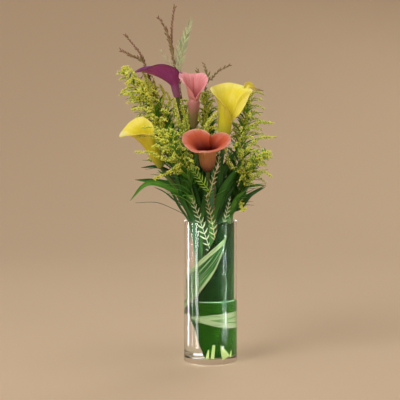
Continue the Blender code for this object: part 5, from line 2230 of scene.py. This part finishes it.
LONG_LEAVES = {
    Paint.DEEP: (
        (((-38, -22, 234), (-41, -22, 269), (-49, -22, 308), (-56, -22, 341)), 9, 0.1),
        (((-34, -30, 235), (-34, -30, 278), (-36, -30, 311), (-41, -30, 343)), 8, 0.4),
        (((-23, -36, 235), (-28, -36, 278), (-34, -36, 306), (-41, -36, 330)), 7, 0.19),
        (((-18, -38, 235), (-11, -38, 270), (-5, -38, 295), (0, -38, 321)), 8, 0.48),
        (((2, -38, 235), (12, -38, 275), (25, -38, 303), (43, -38, 328)), 11, 0.78),
        (((5, -32, 252), (14, -32, 301), (27, -32, 333), (43, -32, 359)), 12, 0.28),
        (((24, -24, 238), (35, -24, 264), (49, -24, 279), (62, -24, 284)), 11, 0.57),
        (((29, -18, 237), (44, -18, 266), (62, -18, 282), (90, -18, 298)), 7, 0.87),
        (((33, 5, 249), (43, 5, 306), (50, 5, 337), (60, 5, 365)), 6, 0.36),
        (((-45, 0, 243), (-58, 0, 285), (-70, 0, 310), (-85, 0, 330)), 8, 0.66),
        (((-8, -22, 234), (-10, -22, 269), (-13, -22, 288), (-20, -22, 303)), 7, 0.16),
        (((-42, 20, 251), (-52, 20, 320), (-55, 20, 354), (-62, 20, 382)), 7, 0.75),
        (((19, 10, 235), (26, 10, 299), (29, 10, 322), (31, 10, 349)), 7, 0.24),
        (((36, 0, 249), (51, 0, 305), (66, 0, 324), (80, 0, 326)), 8, 0.84),
        (((9, -30, 235), (19, -30, 265), (30, -30, 285), (40, -30, 298)), 8, 0.12),
        (((-41, -16, 234), (-51, -16, 262), (-61, -16, 281), (-71, -16, 294)), 7, 0.42),
        (((-30, -22, 240), (-44, -30, 270), (-53, -32, 301), (-65, -30, 341)), 10, 0.55),
        (((-25, -24, 240), (-34, -33, 275), (-43, -35, 308), (-49, -33, 341)), 11, 0.62),
        (((-16, -22, 240), (-21, -34, 270), (-26, -38, 295), (-34, -38, 318)), 10, 0.31),
        (((-8, -24, 240), (-8, -34, 265), (-11, -38, 288), (-16, -40, 311)), 9, 0.15),
        (((-11, -22, 240), (-16, -28, 275), (-20, -30, 305), (-25, -30, 336)), 11, 0.5),
        (((0, -24, 240), (3.5, -34, 267), (5, -38, 288), (0, -38, 315)), 9, 0.22),
        (((5, -23, 240), (13.5, -33, 267), (22, -35, 292), (30, -34, 315)), 11, 0.9),
        (((10, -24, 240), (17, -30, 270), (27, -31, 298), (42, -31, 329)), 14, 0.72),
        (((5, -18, 240), (10, -24, 283), (19, -25, 321), (35, -25, 354)), 13, 0.35),
        (((-5, -29, 240), (-6, -39, 263), (-8, -45, 288), (-13, -51, 318)), 10, 0.3),
        (((-3, -29, 240), (-5.5, -41, 263), (-6.8, -51, 290), (-9, -57, 316)), 10, 0.45),
        (((6, -24, 240), (12, -33, 285), (16, -37, 325), (17.5, -36, 368)), 11, 0.4),
    ),
    Paint.FRESH: (
        (((-52, 15, 248), (-64, 15, 301), (-69, 15, 330), (-72, 15, 357)), 7, 0.45),
        (((-28, 24, 241), (-38, 24, 309), (-47, 24, 343), (-55, 24, 374)), 7, 0.54),
        (((-13, -8, 233), (-20, -8, 273), (-25, -8, 297), (-26, -8, 320)), 8, 0.63),
        (((21, -20, 240), (34, -26, 261), (45, -27, 280), (60, -27, 291)), 9, 0.4),
        (((-30, -16, 240), (-51, -20, 281), (-68, -20, 308), (-88, -20, 324)), 9, 0.7),
    ),
    Paint.BLUE: (
        (((-28, -28, 235), (-23, -28, 278), (-18, -28, 304), (-13, -28, 324)), 8, 0.69),
        (((-3, -14, 234), (4, -14, 269), (9, -14, 291), (15, -14, 314)), 8, 0.33),
        (((-1, -28, 240), (0, -44, 267), (1.5, -55, 292), (3.5, -60, 326)), 9, 0.8),
    ),
}


# ---- The studio ----


@dataclass
class SoftLight:
    """A rectangular soft light, aimed at a point."""

    name: str
    place: Triple
    aim: Triple
    width: float
    height: float
    power: float
    mirrored_only: bool = False

    def build(self, mirrors: bpy.types.Collection) -> None:
        """Adds the light to the scene.

        Args:
            mirrors: What a light that is only mirrored shines on.
        """
        lamp = bpy.data.lights.new(self.name, "AREA")
        lamp.shape = "RECTANGLE"
        lamp.size, lamp.size_y = self.width, self.height
        lamp.energy = self.power
        holder = bpy.data.objects.new(self.name, lamp)
        bpy.context.scene.collection.objects.link(holder)
        holder.location = self.place
        way = Vector(self.aim) - Vector(self.place)
        holder.rotation_euler = way.to_track_quat("-Z", "Y").to_euler()
        holder.visible_camera = False
        if self.mirrored_only:
            holder.visible_diffuse = False
            holder.visible_transmission = False
            holder.light_linking.receiver_collection = mirrors


@dataclass
class Strip:
    """A tall strip beside the vase that draws an upright highlight on the glass.

    It is turned round the vase from the camera, to the right, and its width is as the vase sees it,
    both in degrees.
    """

    name: str
    turn: float
    width: float
    radiance: float
    distance: float = 0.16
    centre: float = 0.146
    height: float = 0.285

    def light(self) -> SoftLight:
        """The soft light that makes the strip."""
        angle = math.radians(self.turn)
        place = (self.distance * math.sin(angle), -self.distance * math.cos(angle), self.centre)
        across = 2 * self.distance * math.tan(math.radians(self.width / 2))
        power = self.radiance * math.pi * across * self.height
        aim = (0, 0, self.centre)
        return SoftLight(self.name, place, aim, across, self.height, power, mirrored_only=True)


@dataclass
class Studio:
    """The pale floor, the soft lights and the camera, which looks a little down on the flowers."""

    camera_place: Triple = (-0.0179, -1.7269, 0.3754)
    pitch: float = 3.3956
    lens: float = 92.36
    sensor: float = 36.0
    flat: float = 1.7
    curve: float = 2.3
    steps: int = 12
    wall: float = 1.0
    below: float = 0.0006
    sky: tuple[float, float, float, float] = (0.92, 0.90, 0.88, 1.0)
    sky_strength: float = 0.16
    lights: tuple[SoftLight, ...] = (
        SoftLight("key_light", (-2.4, -2.4, 2.6), (0, 0, 0.3), 2.2, 2.2, 98),
        SoftLight("top_light", (0.1, -0.1, 3.4), (0, 0, 0.2), 2.6, 2.6, 42),
        SoftLight("fill_light", (2.6, -2.0, 1.5), (0, 0, 0.3), 2.2, 2.2, 20),
        SoftLight("back_light", (1.2, 2.4, 2.4), (0, 0, 0.35), 1.8, 1.8, 24),
        Strip("left_strip", -54, 13, 32).light(),
        Strip("left_thin_strip", -76, 2, 32).light(),
        Strip("left_back_strip", -99, 8, 26).light(),
        Strip("right_strip", 47, 1.4, 480).light(),
        Strip("right_back_strip", 60, 1.2, 260).light(),
        SoftLight("rim_panel", (0, 1.2, 0.42), (0, 0, 0.24), 1.6, 0.20, 3.2, mirrored_only=True),
    )

    def build(self) -> None:
        """Builds the floor and the camera."""
        self.build_floor()
        camera = bpy.data.cameras.new("camera")
        camera.lens = self.lens
        camera.sensor_width = self.sensor
        holder = bpy.data.objects.new("camera", camera)
        bpy.context.scene.collection.objects.link(holder)
        holder.location = self.camera_place
        holder.rotation_euler = (math.radians(90 - self.pitch), 0, 0)
        bpy.context.scene.camera = holder

    def build_floor(self) -> None:
        """A round pale floor that rises all round in one soft curve."""
        deselect()
        place = (0, 0, -self.below)
        bpy.ops.mesh.primitive_circle_add(vertices=96, radius=self.flat, fill_type="NGON", location=place)
        floor = bpy.context.active_object
        floor.name = "pale_floor"
        bpy.ops.object.transform_apply(location=True)
        bpy.ops.object.mode_set(mode="EDIT")
        bpy.ops.mesh.select_all(action="SELECT")
        bpy.ops.mesh.inset(thickness=self.flat * 0.5)
        bpy.ops.mesh.select_all(action="DESELECT")
        bpy.ops.object.mode_set(mode="OBJECT")
        rim = self.flat - 0.01
        for edge in floor.data.edges:
            edge.select = all(math.hypot(*floor.data.vertices[v].co.xy) > rim for v in edge.vertices)
        bpy.ops.object.mode_set(mode="EDIT")
        bpy.ops.mesh.select_mode(type="EDGE")
        reach, turn = self.flat, 90 / self.steps
        for step in range(1, self.steps + 1):
            angle = math.radians(turn * step)
            out = self.flat + self.curve * math.sin(angle)
            rise = self.curve * (math.cos(angle - math.radians(turn)) - math.cos(angle))
            bpy.ops.mesh.extrude_edges_move(TRANSFORM_OT_translate={"value": (0, 0, rise)})
            bpy.ops.transform.resize(value=(out / reach, out / reach, 1), center_override=(0, 0, 0))
            reach = out
        bpy.ops.mesh.extrude_edges_move(TRANSFORM_OT_translate={"value": (0, 0, self.wall)})
        bpy.ops.mesh.select_mode(type="VERT")
        bpy.ops.object.mode_set(mode="OBJECT")
        bpy.ops.object.shade_smooth_by_angle(angle=math.radians(60))
        floor.data.materials.append(made(FLOOR))

    def build_lights(self, glass: Piece) -> None:
        """Soft lights from the left, above, the right and behind, and strips that the glass mirrors.

        Args:
            glass: The vase.
        """
        mirrors = bpy.data.collections.new("mirrors")
        mirrors.objects.link(glass)
        for light in self.lights:
            light.build(mirrors)
        world = bpy.data.worlds.new("studio")
        bpy.context.scene.world = world
        world.use_nodes = True
        backdrop = world.node_tree.nodes["Background"]
        backdrop.inputs[0].default_value = self.sky
        backdrop.inputs[1].default_value = self.sky_strength


def main() -> None:
    """Builds the studio and the arrangement, piece by piece."""
    logging.basicConfig(level=logging.INFO, format="%(name)s %(message)s")
    bpy.context.scene.view_settings.view_transform = "Standard"
    studio = Studio()
    studio.build()
    HEADS["bud"], HEADS["open"] = bud_form(), open_head_form()
    studio.build_lights(GlassVase().build())
    Water().build()
    LiningLeaf().build()
    LeafStalks().build()
    CoiledLeaf().build()
    room = Room()
    lines: dict[str, tuple[Array, float]] = {}
    for calla in CALLAS:
        room.add(calla)
        lines[calla.name] = (calla.stem_line(), calla.foot_radius)
        calla.build()
    DRY_TIP.build()
    for rod in GOLDENRODS:
        lines[rod.name] = (rod.stem_line(), rod.radius)
        rod.build(room)
    for sprig in SPRIGS:
        sprig.build()
    for frond in FRONDS:
        frond.build()
    for blade in BLADES:
        blade.build(lines)
    Foliage(LONG_LEAVES).build(room)


if __name__ == "__main__":
    main()
